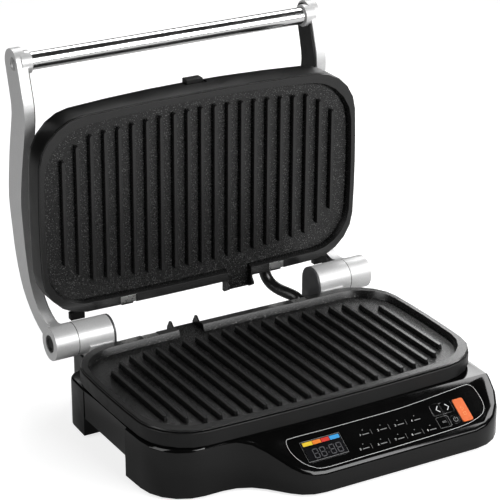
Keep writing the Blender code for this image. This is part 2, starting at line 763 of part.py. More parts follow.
def plate(name):
    """Ribbed casting, with its rim at z = 0 and its cooking side up."""
    floor = -PLATE_DEPTH
    levels = (
        (cavity_outline(PLATE_SLOPE - PAN_WALL), floor - FLOOR_THICKNESS),
        (cavity_outline(-PAN_WALL), -FLANGE_THICKNESS),
        (plate_outline(RIM_EDGE), -FLANGE_THICKNESS),
        (plate_outline(), RIM_EDGE - FLANGE_THICKNESS),
        (plate_outline(), -RIM_EDGE),
        (plate_outline(RIM_EDGE), 0.0),
        (cavity_outline(), 0.0),
        (cavity_outline(PLATE_SLOPE), floor),
    )
    casting = loft(name, levels, "non_stick")
    half = (RIB_COUNT - 1) // 2
    for index in range(-half, half + 1):
        join(casting, rib(index))
    join(casting, *spout())
    notch_low = (NOTCH_LEFT, CAVITY_REAR - PLATE_SLOPE, floor)
    cut(casting, box("notch", notch_low, (NOTCH_RIGHT, rear_edge(OVERRUN), OVERRUN)))
    for sign in (-1, 1):
        cut(casting, keeper_box("pocket", sign, GAP, OVERRUN))
    return smooth(casting)


def keeper_box(name, sign, margin, top, finish="plain_steel"):
    half = KEEPER_WIDTH / 2 + margin
    bottom = -RIM_EDGE / 2 - KEEPER_THICKNESS - margin
    low = (sign * KEEPER_CENTRE - half, KEEPER_FRONT - margin, bottom)
    high = (sign * KEEPER_CENTRE + half, KEEPER_REAR + 2 * margin * OVERRUN / GAP, top)
    return box(name, low, high, finish)


def keeper(name):
    """Steel tongue in the rim that hooks the plate under its catch."""
    return keeper_box(name, 1, 0.0, -RIM_EDGE / 2)


def element_level():
    return -PLATE_DEPTH - FLOOR_THICKNESS - GAP - ELEMENT_RADIUS


def heating_element(name):
    level = element_level()
    left, right = ELEMENT_TERMINALS
    bottom = level - TERMINAL_DROP
    corners = (
        ((left, ELEMENT_REAR, bottom), 0),
        ((left, ELEMENT_REAR, level), TERMINAL_BEND),
        ((-ELEMENT_HALF_WIDTH, ELEMENT_REAR, level), ELEMENT_BEND),
        ((-ELEMENT_HALF_WIDTH, ELEMENT_FRONT, level), ELEMENT_BEND),
        ((ELEMENT_HALF_WIDTH, ELEMENT_FRONT, level), ELEMENT_BEND),
        ((ELEMENT_HALF_WIDTH, ELEMENT_REAR, level), ELEMENT_BEND),
        ((right, ELEMENT_REAR, level), TERMINAL_BEND),
        ((right, ELEMENT_REAR, bottom), 0),
    )
    return bent_tube(name, fillet(corners, closed=False), ELEMENT_RADIUS, "element_steel", 1)


def reflector_level():
    """Top of the reflector's floor, just under the heating element."""
    return element_level() - ELEMENT_RADIUS - GAP


def reflector(name):
    """Thin pan whose flange rests on the deck round it."""
    flange = -RING_HEIGHT - GROOVE_HEIGHT + GAP
    thick = REFLECTOR_THICKNESS
    floor = reflector_level()
    edge = cavity_outline(-PAN_WALL)
    step = cavity_outline(DECK_INSET + PLATE_CLEARANCE)
    inner = cavity_outline(DECK_INSET + PLATE_CLEARANCE + thick)
    levels = (
        (step, floor - thick),
        (step, flange),
        (edge, flange),
        (edge, flange + thick),
        (inner, flange + thick),
        (inner, floor),
    )
    pan = loft(name, levels, "sheet_metal")
    holes = [(x, ELEMENT_REAR, REFLECTOR_HOLE) for x in ELEMENT_TERMINALS]
    holes.append((0.0, SENSOR_CENTRE, SENSOR_RADIUS + GAP))
    for x, y, radius in holes:
        start = floor - thick - OVERRUN
        cut(pan, rod("hole", radius, start, 2 * OVERRUN, upright(x, y), steps=SMALL_ROUND_STEPS))
    return pan


def sensor(name):
    """Thermostat that bears on the plate, with a flange under the reflector."""
    top = -PLATE_DEPTH - FLOOR_THICKNESS - GAP
    flange = reflector_level() - REFLECTOR_THICKNESS - GAP
    bottom = top - SENSOR_HEIGHT
    profile = (
        (0, bottom),
        (SENSOR_RADIUS, bottom),
        (SENSOR_RADIUS, flange - COVER_THICKNESS),
        (SENSOR_FLANGE, flange - COVER_THICKNESS),
        (SENSOR_FLANGE, flange),
        (SENSOR_RADIUS, flange),
        (SENSOR_RADIUS, top),
        (0, top),
    )
    place = upright(0.0, SENSOR_CENTRE)
    return turned(name, profile, place, "plain_steel", SMALL_ROUND_STEPS)


def spout_space():
    """Room for the spout in the ring or the head, in the plate's own frame."""
    side = SPOUT_WALL + SPOUT_CLEARANCE
    low = (NOTCH_LEFT - side, CAVITY_REAR, -PLATE_DEPTH - FLOOR_THICKNESS)
    return box("spout_space", low, (NOTCH_RIGHT + side, rear_edge(OVERRUN), OVERRUN))


def plate_ring():
    """Plastic ring that carries the lower plate's flange over the groove."""
    top = -FLANGE_THICKNESS - GAP
    neck = -RING_HEIGHT - GROOVE_HEIGHT + GAP
    levels = (
        (plate_outline(-RING_SPREAD), -RING_HEIGHT),
        (plate_outline(-RING_SPREAD), top - RING_EDGE),
        (plate_outline(RING_EDGE - RING_SPREAD), top),
        (well_outline(), top),
        (well_outline(), neck),
        (plate_outline(GROOVE_DEPTH - RING_SPREAD), neck),
        (plate_outline(GROOVE_DEPTH - RING_SPREAD), -RING_HEIGHT),
    )
    ring = loft("lower_plate_ring", levels, "satin_black", closed_loop=True)
    cut(ring, spout_space())
    return smooth(moved(ring, lower_place()))


def base_outline(inset=0.0):
    middle = BODY_HALF_WIDTH + BODY_BOW
    corners = (
        ((BODY_HALF_WIDTH, BODY_REAR), BODY_REAR_RADIUS),
        ((-BODY_HALF_WIDTH, BODY_REAR), BODY_REAR_RADIUS),
        ((-middle, BODY_MIDDLE), BODY_SIDE_RADIUS),
        ((-BODY_HALF_WIDTH, BODY_FRONT), BODY_FRONT_RADIUS),
        ((NOSE_ROOT, BODY_FRONT), NOSE_ROOT_RADIUS),
        ((NOSE_LEFT, NOSE_FRONT), NOSE_LEFT_RADIUS),
        ((NOSE_RIGHT, NOSE_FRONT), NOSE_RIGHT_RADIUS),
        ((middle, BODY_MIDDLE), BODY_SIDE_RADIUS),
    )
    return offset(fillet(corners), inset)


def body_top():
    return LOWER_RIM - RING_HEIGHT - GROOVE_HEIGHT


def trim(item, point, normal):
    """Cut away what lies beyond a plane and close the cut."""
    mesh = bmesh.new()
    mesh.from_mesh(item.data)
    geometry = mesh.verts[:] + mesh.edges[:] + mesh.faces[:]
    cut_result = bmesh.ops.bisect_plane(
        mesh, geom=geometry, plane_co=point, plane_no=normal, clear_outer=True, dist=SAME_PLANE
    )
    edges = [part for part in cut_result["geom_cut"] if isinstance(part, bmesh.types.BMEdge)]
    bmesh.ops.contextual_create(mesh, geom=edges)
    bmesh.ops.recalc_face_normals(mesh, faces=mesh.faces)
    mesh.to_mesh(item.data)
    mesh.free()
    return item


def panel_normal():
    return Vector((0, -sin(PANEL_SLOPE), cos(PANEL_SLOPE)))


def panel_place(depth=0.0):
    """Matrix from panel coordinates: x, down the slope, and out of the surface."""
    down = Vector((0, -cos(PANEL_SLOPE), -sin(PANEL_SLOPE)))
    out = panel_normal()
    start = Vector((0, PANEL_TOP, PANEL_TOP_LEVEL)) - out * depth
    rows = [(first, down[row], out[row], start[row]) for row, first in enumerate((1, 0, 0))]
    return Matrix(rows + [(0, 0, 0, 1)])


def placed_on_panel(item):
    item.data.transform(panel_place())
    item.data.flip_normals()
    return item


def body_prism(name, outline, low, high, roof_depth=0.0, finish="gloss_black"):
    """Prism of the body, with the nose's sloping roof cut some depth below the panel."""
    solid = prism(name, outline, low, high, finish)
    return trim(solid, panel_place(roof_depth).translation, panel_normal())


def round_rim(shell):
    """Round the edge all round the deck and the panel, where they meet the walls."""
    mesh = bmesh.new()
    mesh.from_mesh(shell.data)
    rim = []
    for edge in mesh.edges:
        slopes = sorted(face.normal.z for face in edge.link_faces)
        if abs(slopes[0]) < WALL_SLOPE and slopes[-1] > WALL_SLOPE:
            rim.append(edge)
    bmesh.ops.bevel(mesh, geom=rim, offset=BODY_EDGE, segments=EDGE_STEPS, profile=0.5, affect="EDGES")
    bmesh.ops.recalc_face_normals(mesh, faces=mesh.faces)
    mesh.to_mesh(shell.data)
    mesh.free()


def fascia_outline(inset=0.0):
    """Outline of the fascia in panel coordinates."""
    length = PANEL_LENGTH
    width = FASCIA_RIGHT - FASCIA_LEFT
    corner_shares = (
        (0.0, 0.235, 0.13),
        (0.58, 0.24, 0.0),
        (0.993, 0.105, 0.13),
        (1.0, 0.54, 1.0),
        (0.973, 0.94, 0.29),
        (0.83, 0.977, 2.0),
        (0.10, 1.01, 0.5),
        (0.0, 0.65, 0.32),
    )
    corners = []
    for across, down, rounding in corner_shares:
        corners.append(((FASCIA_LEFT + across * width, down * length), rounding * length))
    return offset(fillet(corners), inset)


def rounded_box_outline(left, right, top, bottom, radius):
    corners = ((left, top), (right, top), (right, bottom), (left, bottom))
    return fillet([(corner, radius) for corner in corners], fineness=SMALL_CORNER_STEPS)


def key_shapes():
    """Outline maker of each key in panel coordinates, by node name."""
    middle = (ARROWS_LEFT + ARROWS_RIGHT) / 2
    space = KEY_SPACE / 2
    boxes = {
        "previous_key": (ARROWS_LEFT, middle - space, KEY_ROW_TOP, KEY_ROW_MIDDLE),
        "next_key": (middle + space, ARROWS_RIGHT, KEY_ROW_TOP, KEY_ROW_MIDDLE),
        "unit_key": (ARROWS_LEFT, middle - space, KEY_ROW_MIDDLE + KEY_SPACE, KEY_ROW_BOTTOM),
        "start_key": (START_LEFT, START_RIGHT, START_TOP, START_BOTTOM),
    }
    shapes = {}
    for name, sides in boxes.items():
        shapes[name] = rounded_box_outline(*sides, KEY_CORNER)
    turn = [2 * pi * step / SMALL_ROUND_STEPS for step in range(SMALL_ROUND_STEPS)]
    ring = [Vector((POWER_X + POWER_RADIUS * cos(a), POWER_DOWN + POWER_RADIUS * sin(a))) for a in turn]
    shapes["power_key"] = ring
    return shapes


def panel_solid(name, outline, low, high, finish="plain_steel"):
    """Prism on the panel, between two heights measured out of its surface."""
    return placed_on_panel(prism(name, outline, low, high, finish))


def base_shell():
    """Lower body: walls, deck, sloping nose, side recesses, arches and rear block."""
    top = body_top()
    shell = body_prism("base_shell", base_outline(), BODY_BOTTOM, top)
    round_rim(shell)
    wide = BODY_HALF_WIDTH + BODY_BOW + OVERRUN
    for sign in (-1, 1):
        sides = sorted((sign * recess_face(), sign * wide))
        low = (sides[0], ARCH_FRONT, BODY_BOTTOM - OVERRUN)
        cut(shell, box("recess", low, (sides[1], ARCH_REAR, top + OVERRUN)))
    cut(shell, front_cavity(0.0))
    cut(shell, upper_cavity())
    low = (-wide, ARCH_FRONT - GAP, BODY_BOTTOM - OVERRUN)
    cut(shell, box("arch", low, (wide, ARCH_REAR + GAP, ARCH_TOP)))
    foot_inner = BODY_HALF_WIDTH + BODY_BOW - CORNER_FOOT_WIDTH
    low = (-foot_inner, ARCH_REAR - OVERRUN, BODY_BOTTOM - OVERRUN)
    cut(shell, box("under", low, (foot_inner, BODY_REAR + OVERRUN, ARCH_TOP)))
    join(shell, rear_block())
    cut(shell, prism("well", cavity_outline(DECK_INSET), top - DECK_THICKNESS - OVERRUN, top + OVERRUN))
    low = (-HINGE_INNER + GAP, BODY_REAR - BLOCK_WALL, MIDDLE_DECK)
    cut(shell, box("middle_deck", low, (HINGE_INNER - GAP, BLOCK_REAR + OVERRUN, top + OVERRUN)))
    cut_block_hollows(shell)
    cut_panel_openings(shell)
    cut(shell, side_latch_box("slot", upper_wall() - OVERRUN, wide, GAP))
    return smooth(shell)


def recess_face():
    """Distance of the recessed side wall from the middle."""
    return BODY_HALF_WIDTH + BODY_BOW - RECESS_DEPTH


def upper_wall():
    """Distance of the side wall's inner face from the middle."""
    return BODY_HALF_WIDTH + BODY_BOW - BODY_WALL


def upper_cavity():
    """Room under the deck and the nose's roof, down to the level of the arches."""
    roof = FASCIA_THICKNESS + GAP + ROOF_THICKNESS
    bottom = ARCH_TOP - OVERRUN
    room = body_prism("cavity", base_outline(BODY_WALL), bottom, body_top() - DECK_THICKNESS, roof)
    return trim(room, Vector((0, BLOCK_FRONT - BLOCK_WALL, 0)), Vector((0, 1, 0)))


def front_cavity(margin):
    """Room in the front of the body below the arches, with a slightly thicker wall."""
    outline = base_outline(BODY_WALL + COVER_THICKNESS / 2 + margin)
    room = prism("front_cavity", outline, BODY_BOTTOM - OVERRUN, ARCH_TOP + GAP)
    return trim(room, Vector((0, ARCH_FRONT - COVER_RISER - margin, 0)), Vector((0, 1, 0)))


def rear_block():
    """Block behind the body that carries the hinge posts on two legs."""
    low = (-BLOCK_HALF_WIDTH, BLOCK_FRONT, BLOCK_BOTTOM)
    block = box("block", low, (BLOCK_HALF_WIDTH, BLOCK_REAR, PEDESTAL_FOOT))
    inner = BLOCK_HALF_WIDTH - BLOCK_LEG
    for sign in (-1, 1):
        sides = sorted((sign * BLOCK_HALF_WIDTH, sign * inner))
        low = (sides[0], BLOCK_REAR - BLOCK_LEG_DEPTH, BODY_BOTTOM)
        join(block, box("leg", low, (sides[1], BLOCK_REAR, PEDESTAL_FOOT)))
    return block


def cut_block_hollows(shell):
    """Tray tunnel, drain hole, wiring hollow, and holes for the inlet and the conduit."""
    tunnel_low = (TRAY_LEFT - PLATE_CLEARANCE, TRAY_FRONT - PLATE_CLEARANCE, TRAY_BOTTOM - GAP)
    tunnel_top = TRAY_BOTTOM + TRAY_HEIGHT + PLATE_CLEARANCE
    cut(shell, box("tunnel", tunnel_low, (TRAY_RIGHT + PLATE_CLEARANCE, BLOCK_REAR + OVERRUN, tunnel_top)))
    drain_low = (NOTCH_LEFT - SPOUT_WALL - GAP, BODY_REAR + BLOCK_WALL, tunnel_top - OVERRUN)
    cut(shell, box("drain", drain_low, (NOTCH_RIGHT + SPOUT_WALL + GAP, DRAIN_REAR, MIDDLE_DECK + OVERRUN)))
    inner_right = BLOCK_HALF_WIDTH - BLOCK_LEG - BLOCK_WALL
    roof = MIDDLE_DECK - BLOCK_WALL
    front = BLOCK_FRONT - BLOCK_WALL - OVERRUN
    floor = BLOCK_BOTTOM + BLOCK_WALL
    wiring_low = (TRAY_RIGHT + PLATE_CLEARANCE + BLOCK_WALL, front, floor)
    cut(shell, box("wiring", wiring_low, (inner_right, BLOCK_REAR - BLOCK_WALL, roof)))
    left_low = (-inner_right, front, floor)
    left_high = (TRAY_LEFT - PLATE_CLEARANCE - BLOCK_WALL, BLOCK_REAR - BLOCK_WALL, roof)
    cut(shell, box("left_hollow", left_low, left_high))
    inlet = along_y(INLET_X, INLET_LEVEL)
    start = BLOCK_REAR - BLOCK_WALL - OVERRUN
    cut(shell, rod("inlet_hole", INLET_RADIUS + GAP, start, 3 * OVERRUN, inlet, steps=SMALL_ROUND_STEPS))
    place = upright(CONDUIT_BASE_X, CONDUIT_BASE_Y)
    start = MIDDLE_DECK - GLAND_HEIGHT - OVERRUN
    length = GLAND_HEIGHT + 2 * OVERRUN
    cut(shell, rod("conduit_hole", GLAND_NECK + GAP, start, length, place, steps=SMALL_ROUND_STEPS))


def cut_panel_openings(shell):
    """Pocket for the fascia, and openings under the display and the keys."""
    pocket = -FASCIA_THICKNESS - GAP
    through = pocket - ROOF_THICKNESS - OVERRUN
    cut(shell, panel_solid("pocket", fascia_outline(-GAP), pocket, OVERRUN))
    ledge = WINDOW_LEDGE
    window = rounded_box_outline(
        WINDOW_LEFT + ledge, WINDOW_RIGHT - ledge, WINDOW_TOP + ledge, WINDOW_BOTTOM - ledge, KEY_CORNER
    )
    cut(shell, panel_solid("display_opening", window, through, OVERRUN))
    margin = KEY_WELL_MARGIN
    keys = rounded_box_outline(
        ARROWS_LEFT - margin,
        START_RIGHT + margin,
        KEY_ROW_TOP - margin,
        KEY_ROW_BOTTOM + margin / 2,
        KEY_CORNER,
    )
    cut(shell, panel_solid("key_opening", keys, through, OVERRUN))


def side_latch_box(name, inner, outer, margin, finish="plain_steel"):
    low = (inner, SIDE_LATCH_Y - LATCH_WIDTH / 2 - margin, SIDE_LATCH_LOW - margin)
    high = (outer, SIDE_LATCH_Y + LATCH_WIDTH / 2 + margin, SIDE_LATCH_HIGH + margin)
    return box(name, low, high, finish)


def lower_latch():
    """Push piece in the right-hand wall that frees the lower plate."""
    flange = upper_wall() - GAP - BODY_BOW / 4
    outer = recess_face() + SIDE_LATCH_PROUD
    latch = side_latch_box("lower_plate_latch", flange - 2 * LATCH_FLANGE, outer, 0.0, "satin_black")
    return join(latch, side_latch_box("flange", flange - LATCH_FLANGE, flange, LATCH_FLANGE))


def bottom_cover():
    """Stepped cover: high over the arches, low in the front of the body."""
    inner = base_outline(BODY_WALL + GAP)
    low = COVER_LEVEL - COVER_THICKNESS
    split = ARCH_FRONT - COVER_RISER - GAP
    cover = prism("bottom_cover", inner, low, COVER_LEVEL, "satin_black")
    trim(cover, Vector((0, BLOCK_FRONT - BLOCK_WALL - GAP, 0)), Vector((0, 1, 0)))
    trim(cover, Vector((0, split - COVER_RISER, 0)), Vector((0, -1, 0)))
    front_outline = base_outline(BODY_WALL + COVER_THICKNESS / 2 + GAP)
    front = prism("front", front_outline, BODY_BOTTOM, BODY_BOTTOM + COVER_THICKNESS)
    trim(front, Vector((0, split, 0)), Vector((0, 1, 0)))
    half = BODY_HALF_WIDTH - BODY_WALL - COVER_THICKNESS
    riser = box("riser", (-half, split - COVER_RISER, BODY_BOTTOM), (half, split, COVER_LEVEL))
    join(cover, front)
    join(cover, riser)
    for x_sign in (-1, 1):
        for y_sign in (-1, 1):
            x = POWER_BOARD_X + x_sign * (POWER_BOARD_WIDTH / 2 - 2 * STANDOFF_RADIUS)
            y = POWER_BOARD_Y + y_sign * (POWER_BOARD_DEPTH / 2 - 2 * STANDOFF_RADIUS)
            place = upright(x, y)
            height = STANDOFF_HEIGHT + GAP
            join(cover, rod("post", STANDOFF_RADIUS, COVER_LEVEL - GAP, height, place, steps=STANDOFF_STEPS))
    return cover


def power_board():
    low = COVER_LEVEL + STANDOFF_HEIGHT + GAP
    left = POWER_BOARD_X - POWER_BOARD_WIDTH / 2
    front = POWER_BOARD_Y - POWER_BOARD_DEPTH / 2
    high = (left + POWER_BOARD_WIDTH, front + POWER_BOARD_DEPTH, low + BOARD_THICKNESS)
    board = box("power_board", (left, front, low), high, "circuit_board")
    for place in range(RELAY_COUNT):
        x = left + RELAY_WIDTH * (RELAY_FIRST_SHARE + RELAY_PITCH_SHARE * place)
        y = front + RELAY_WIDTH / 2
        relay_high = (x + RELAY_WIDTH, y + RELAY_WIDTH * RELAY_LENGTH_SHARE, high[2] + RELAY_HEIGHT)
        join(board, box("relay", (x, y, low + BOARD_THICKNESS / 2), relay_high))
    return board


def control_fascia():
    fascia = panel_solid("control_fascia", fascia_outline(), -FASCIA_THICKNESS, 0.0, "gloss_black")
    for name, outline in key_shapes().items():
        cut(fascia, panel_solid("opening", offset(outline, -GAP), -FASCIA_THICKNESS - OVERRUN, OVERRUN))
    window = rounded_box_outline(WINDOW_LEFT, WINDOW_RIGHT, WINDOW_TOP, WINDOW_BOTTOM, KEY_CORNER)
    cut(fascia, panel_solid("opening", window, -FASCIA_THICKNESS - OVERRUN, OVERRUN))
    return fascia


def display_window():
    outline = rounded_box_outline(WINDOW_LEFT, WINDOW_RIGHT, WINDOW_TOP, WINDOW_BOTTOM, KEY_CORNER)
    return panel_solid("display_window", offset(outline, GAP), -FASCIA_THICKNESS, 0.0, "smoked_lens")


def outline_centre(outline):
    return sum(outline, Vector((0.0, 0.0))) / len(outline)


def key(name, outline):
    """Key cap with a retaining flange under the fascia and a stem to its switch."""
    finish = "orange_key" if name == "start_key" else "gloss_black"
    under = -FASCIA_THICKNESS - GAP
    flange_low = under - KEY_FLANGE_THICKNESS
    stem_low = control_board_level() + KEY_TRAVEL + GAP
    mesh_levels = (
        (offset(outline, -KEY_FLANGE), flange_low),
        (offset(outline, -KEY_FLANGE), under),
        (outline, under),
        (outline, KEY_PROUD - GAP),
        (offset(outline, GAP), KEY_PROUD),
    )
    cap = loft(name, mesh_levels, finish)
    centre = outline_centre(outline)
    turn = [2 * pi * step / STEM_STEPS for step in range(STEM_STEPS)]
    ring = [centre + Vector((KEY_STEM * cos(a), KEY_STEM * sin(a))) for a in turn]
    join(cap, prism("stem", ring, stem_low, under - GAP))
    return placed_on_panel(cap)


def control_board_level():
    """Top of the control board, below the nose's roof."""
    return -FASCIA_THICKNESS - GAP - ROOF_THICKNESS - GAP


def control_board():
    top = control_board_level()
    left = WINDOW_LEFT - BOARD_MARGIN
    right = START_RIGHT + BOARD_MARGIN
    outline = rounded_box_outline(left, right, KEY_ROW_TOP - BOARD_MARGIN, WINDOW_BOTTOM, KEY_CORNER)
    return panel_solid("control_board", outline, top - BOARD_THICKNESS, top, "circuit_board")


def drip_tray():
    """Open tray under the spout, with a lip that closes the tunnel's mouth."""
    top = TRAY_BOTTOM + TRAY_HEIGHT
    low = (TRAY_LEFT, TRAY_FRONT, TRAY_BOTTOM)
    tray = box("drip_tray", low, (TRAY_RIGHT, BLOCK_REAR + GAP, top), "satin_black")
    wall = TRAY_WALL
    hollow_low = (TRAY_LEFT + wall, TRAY_FRONT + wall, TRAY_BOTTOM + wall)
    cut(tray, box("hollow", hollow_low, (TRAY_RIGHT - wall, BLOCK_REAR - wall, top + OVERRUN)))
    lip_low = (TRAY_LEFT - TRAY_LIP, BLOCK_REAR + GAP, TRAY_BOTTOM - TRAY_LIP)
    lip_high = (TRAY_RIGHT + TRAY_LIP, BLOCK_REAR + GAP + TRAY_WALL, top + TRAY_LIP)
    join(tray, box("lip", lip_low, lip_high))
    centre = (TRAY_LEFT + TRAY_RIGHT) / 2
    pull_low = (centre - TRAY_HEIGHT, BLOCK_REAR + TRAY_WALL / 2, top - 2 * TRAY_WALL)
    pull_high = (centre + TRAY_HEIGHT, BLOCK_REAR + TRAY_WALL + TRAY_LIP_REACH, top - TRAY_WALL)
    return join(tray, box("pull", pull_low, pull_high))


def hinge_post(name):
    """Right-hand fixed barrel on its flat pedestal, with a blind bore for the axle."""
    inner = HINGE_INNER + END_CAP_THICKNESS + GAP
    outer = HINGE_SPLIT - GAP
    place = along_x()
    post = rod(name, HINGE_RADIUS, inner, outer - inner, place, "satin_silver")
    foot = PEDESTAL_FOOT + GAP
    profile = ((-HINGE_RADIUS, foot), (HINGE_RADIUS, foot), (HINGE_RADIUS, 0), (-HINGE_RADIUS, 0))
    join(post, side_prism("pedestal", profile, inner, PEDESTAL_OUTER))
    ledge_y = -HINGE_RADIUS - LEDGE_REACH
    ledge = ((ledge_y, foot), (0, foot), (0, LEDGE_TOP), (ledge_y, LEDGE_TOP))
    join(post, side_prism("ledge", ledge, inner + LEDGE_REACH, PEDESTAL_OUTER - GAP))
    bore_start = AXLE_INNER - GAP
    cut(post, rod("bore", AXLE_RADIUS + GAP, bore_start, HINGE_OUTER - bore_start, place))
    return smooth(post)


def end_cap(name):
    """Dark cap on the inner end of the right-hand post."""
    steps = ROUND_STEPS // 2
    arch = []
    for step in range(steps + 1):
        angle = pi * step / steps
        arch.append((HINGE_RADIUS * cos(angle), HINGE_RADIUS * sin(angle)))
    foot = PEDESTAL_FOOT + GAP
    profile = [(HINGE_RADIUS, foot)] + arch + [(-HINGE_RADIUS, foot)]
    cap = side_prism(name, profile, HINGE_INNER, HINGE_INNER + END_CAP_THICKNESS, "dark_grey")
    return smooth(cap)


def axle(name):
    return rod(name, AXLE_RADIUS, AXLE_INNER, AXLE_OUTER - AXLE_INNER, along_x(), "plain_steel", PIN_STEPS)


def knuckle_cap(name):
    """Round plug in the outer face of the knuckle, dished in the middle."""
    low = HINGE_OUTER - CAP_DEPTH
    profile = (
        (0, low),
        (CAP_RADIUS, low),
        (CAP_RADIUS, HINGE_OUTER - GAP),
        (CAP_RADIUS * CAP_RIM_SHARE, HINGE_OUTER - GAP),
        (CAP_RADIUS * CAP_DISH_SHARE, HINGE_OUTER - CAP_DISH),
        (0, HINGE_OUTER - CAP_DISH),
    )
    return turned(name, profile, along_x(), "satin_black", PIN_STEPS)


def between(before, start, end, after, share):
    """Value on a smooth curve through start and end, a share of the way along."""
    slope = end - before
    bend = 2 * before - 5 * start + 4 * end - after
    twist = 3 * start - before - 3 * end + after
    return start + (slope * share + bend * share ** 2 + twist * share ** 3) / 2


def arm_spine():
    """Smooth centre line of the arm with its half width, from hinge to handle."""
    keys = [(y * ARM_REACH, z * ARM_RISE, share * ARM_WIDTH / 2) for y, z, share in ARM_SPINE_SHARES]
    keys.append((ARM_TOP_Y, ARM_RISE - GAP, ARM_TOP_RADIUS))
    points = []
    last = len(keys) - 1
    for index in range(last):
        p0, p1 = keys[max(index - 1, 0)], keys[index]
        p2, p3 = keys[index + 1], keys[min(index + 2, last)]
        for step in range(ARM_STEPS):
            t = step / ARM_STEPS
            points.append(tuple(between(a, b, c, d, t) for a, b, c, d in zip(p0, p1, p2, p3)))
    points.append(keys[-1])
    return points


def arm_profile(inset=0.0):
    """Closed outline of the arm in the YZ plane, with a round top."""
    spine = arm_spine()
    rear, front = [], []
    for index, (y, z, half) in enumerate(spine):
        before = spine[max(index - 1, 0)]
        after = spine[min(index + 1, len(spine) - 1)]
        length = hypot(after[0] - before[0], after[1] - before[1])
        side_y = (after[1] - before[1]) / length
        side_z = -(after[0] - before[0]) / length
        rear.append((y + side_y * (half - inset), z + side_z * (half - inset)))
        front.append((y - side_y * (half - inset), z - side_z * (half - inset)))
    top_y, top_z, top_half = spine[-1]
    start = atan2(rear[-1][1] - top_z, rear[-1][0] - top_y)
    arc = []
    for step in range(1, 2 * CORNER_STEPS):
        angle = start + pi * step / (2 * CORNER_STEPS)
        arc.append((top_y + (top_half - inset) * cos(angle), top_z + (top_half - inset) * sin(angle)))
    return rear + arc + front[::-1]


def arm(name):
    """Right-hand arm with its knuckle at the hinge and its cup for the handle."""
    profile = arm_profile()
    body = side_prism(name, profile, ARM_INNER, ARM_OUTER, "satin_silver")
    hinge_space = rod("hinge_space", AXLE_RADIUS + CAP_RADIUS, ARM_INNER - OVERRUN, ARM_OUTER, along_x())
    cut(body, hinge_space)
    join(body, knuckle())
    handle_place = along_x(TUBE_Y, ARM_RISE)
    join(body, rod("boss", BOSS_RADIUS, TUBE_SHOULDER, ARM_OUTER - TUBE_SHOULDER - OVERRUN, handle_place))
    socket = TUBE_SEAT - TUBE_SHOULDER + OVERRUN
    cut(body, rod("socket", TUBE_RADIUS + GAP, TUBE_SHOULDER - OVERRUN, socket, handle_place))
    drill = SCREW_SHANK_RADIUS + GAP
    cut(body, rod("screw_hole", drill, TUBE_SEAT - OVERRUN, 4 * OVERRUN, handle_place, steps=STANDOFF_STEPS))
    drill = SCREW_HEAD_RADIUS + GAP
    depth = SCREW_RECESS + OVERRUN
    cut(body, rod("recess", drill, ARM_OUTER - SCREW_RECESS, depth, handle_place, steps=PIN_STEPS))
    start = ARM_INNER - OVERRUN
    depth = PIN_OUTER + GAP - start
    cut(body, rod("pin_bore", PIN_RADIUS + GAP, start, depth, along_x(*open_pivot()), steps=PIN_STEPS))
    return smooth(body)


def knuckle():
    """Moving barrel of the hinge, with the axle's bore and the cap's seat."""
    start = HINGE_SPLIT + GAP
    bore = AXLE_RADIUS + GAP
    seat = CAP_RADIUS + GAP
    seat_floor = HINGE_OUTER - CAP_DEPTH - GAP
    profile = (
        (0, AXLE_OUTER + GAP),
        (bore, AXLE_OUTER + GAP),
        (bore, start),
        (HINGE_RADIUS, start),
        (HINGE_RADIUS, HINGE_OUTER),
        (seat, HINGE_OUTER),
        (seat, seat_floor),
        (0, seat_floor),
    )
    return turned("knuckle", profile, along_x())


def arm_cover(name):
    """Dark strip that closes the inner side of the arm."""
    profile = arm_profile(COVER_STRIP_INSET)
    outer = ARM_INNER - GAP
    strip = side_prism(name, profile, outer - COVER_STRIP_THICKNESS, outer, "satin_black")
    start = outer - COVER_STRIP_THICKNESS - OVERRUN
    length = COVER_STRIP_THICKNESS + 2 * OVERRUN
    cut(strip, rod("knuckle_space", HINGE_RADIUS + GAP, start, length, along_x()))
    cut(strip, rod("boss_space", BOSS_RADIUS + GAP, start, length, along_x(TUBE_Y, ARM_RISE)))
    cut(strip, rod("pin_space", PIN_RADIUS + GAP, start, length, along_x(*open_pivot()), steps=PIN_STEPS))
    return keep_largest(strip)


def keep_largest(item):
    """Drop the loose offcut that a cutter leaves beyond a piece's end."""
    mesh = bmesh.new()
    mesh.from_mesh(item.data)
    remaining = set(mesh.verts)
    groups = []
    while remaining:
        stack = [remaining.pop()]
        group = set(stack)
        while stack:
            for edge in stack.pop().link_edges:
                for vert in edge.verts:
                    if vert in remaining:
                        remaining.discard(vert)
                        group.add(vert)
                        stack.append(vert)
        groups.append(group)
    groups.sort(key=len)
    loose = [vert for group in groups[:-1] for vert in group]
    bmesh.ops.delete(mesh, geom=loose, context="VERTS")
    mesh.to_mesh(item.data)
    mesh.free()
    return item


def handle_tube():
    half = TUBE_SEAT - GAP
    place = along_x(TUBE_Y, ARM_RISE)
    return pipe("handle_tube", TUBE_RADIUS, TUBE_RADIUS - TUBE_WALL, -half, 2 * half, place, "polished_steel")


def tube_plug(name):
    outer = TUBE_SEAT - GAP
    radius = TUBE_RADIUS - TUBE_WALL - GAP
    bore = SCREW_SHANK_RADIUS + GAP
    place = along_x(TUBE_Y, ARM_RISE)
    return pipe(name, radius, bore, outer - PLUG_LENGTH, PLUG_LENGTH, place, "plain_steel", PIN_STEPS)


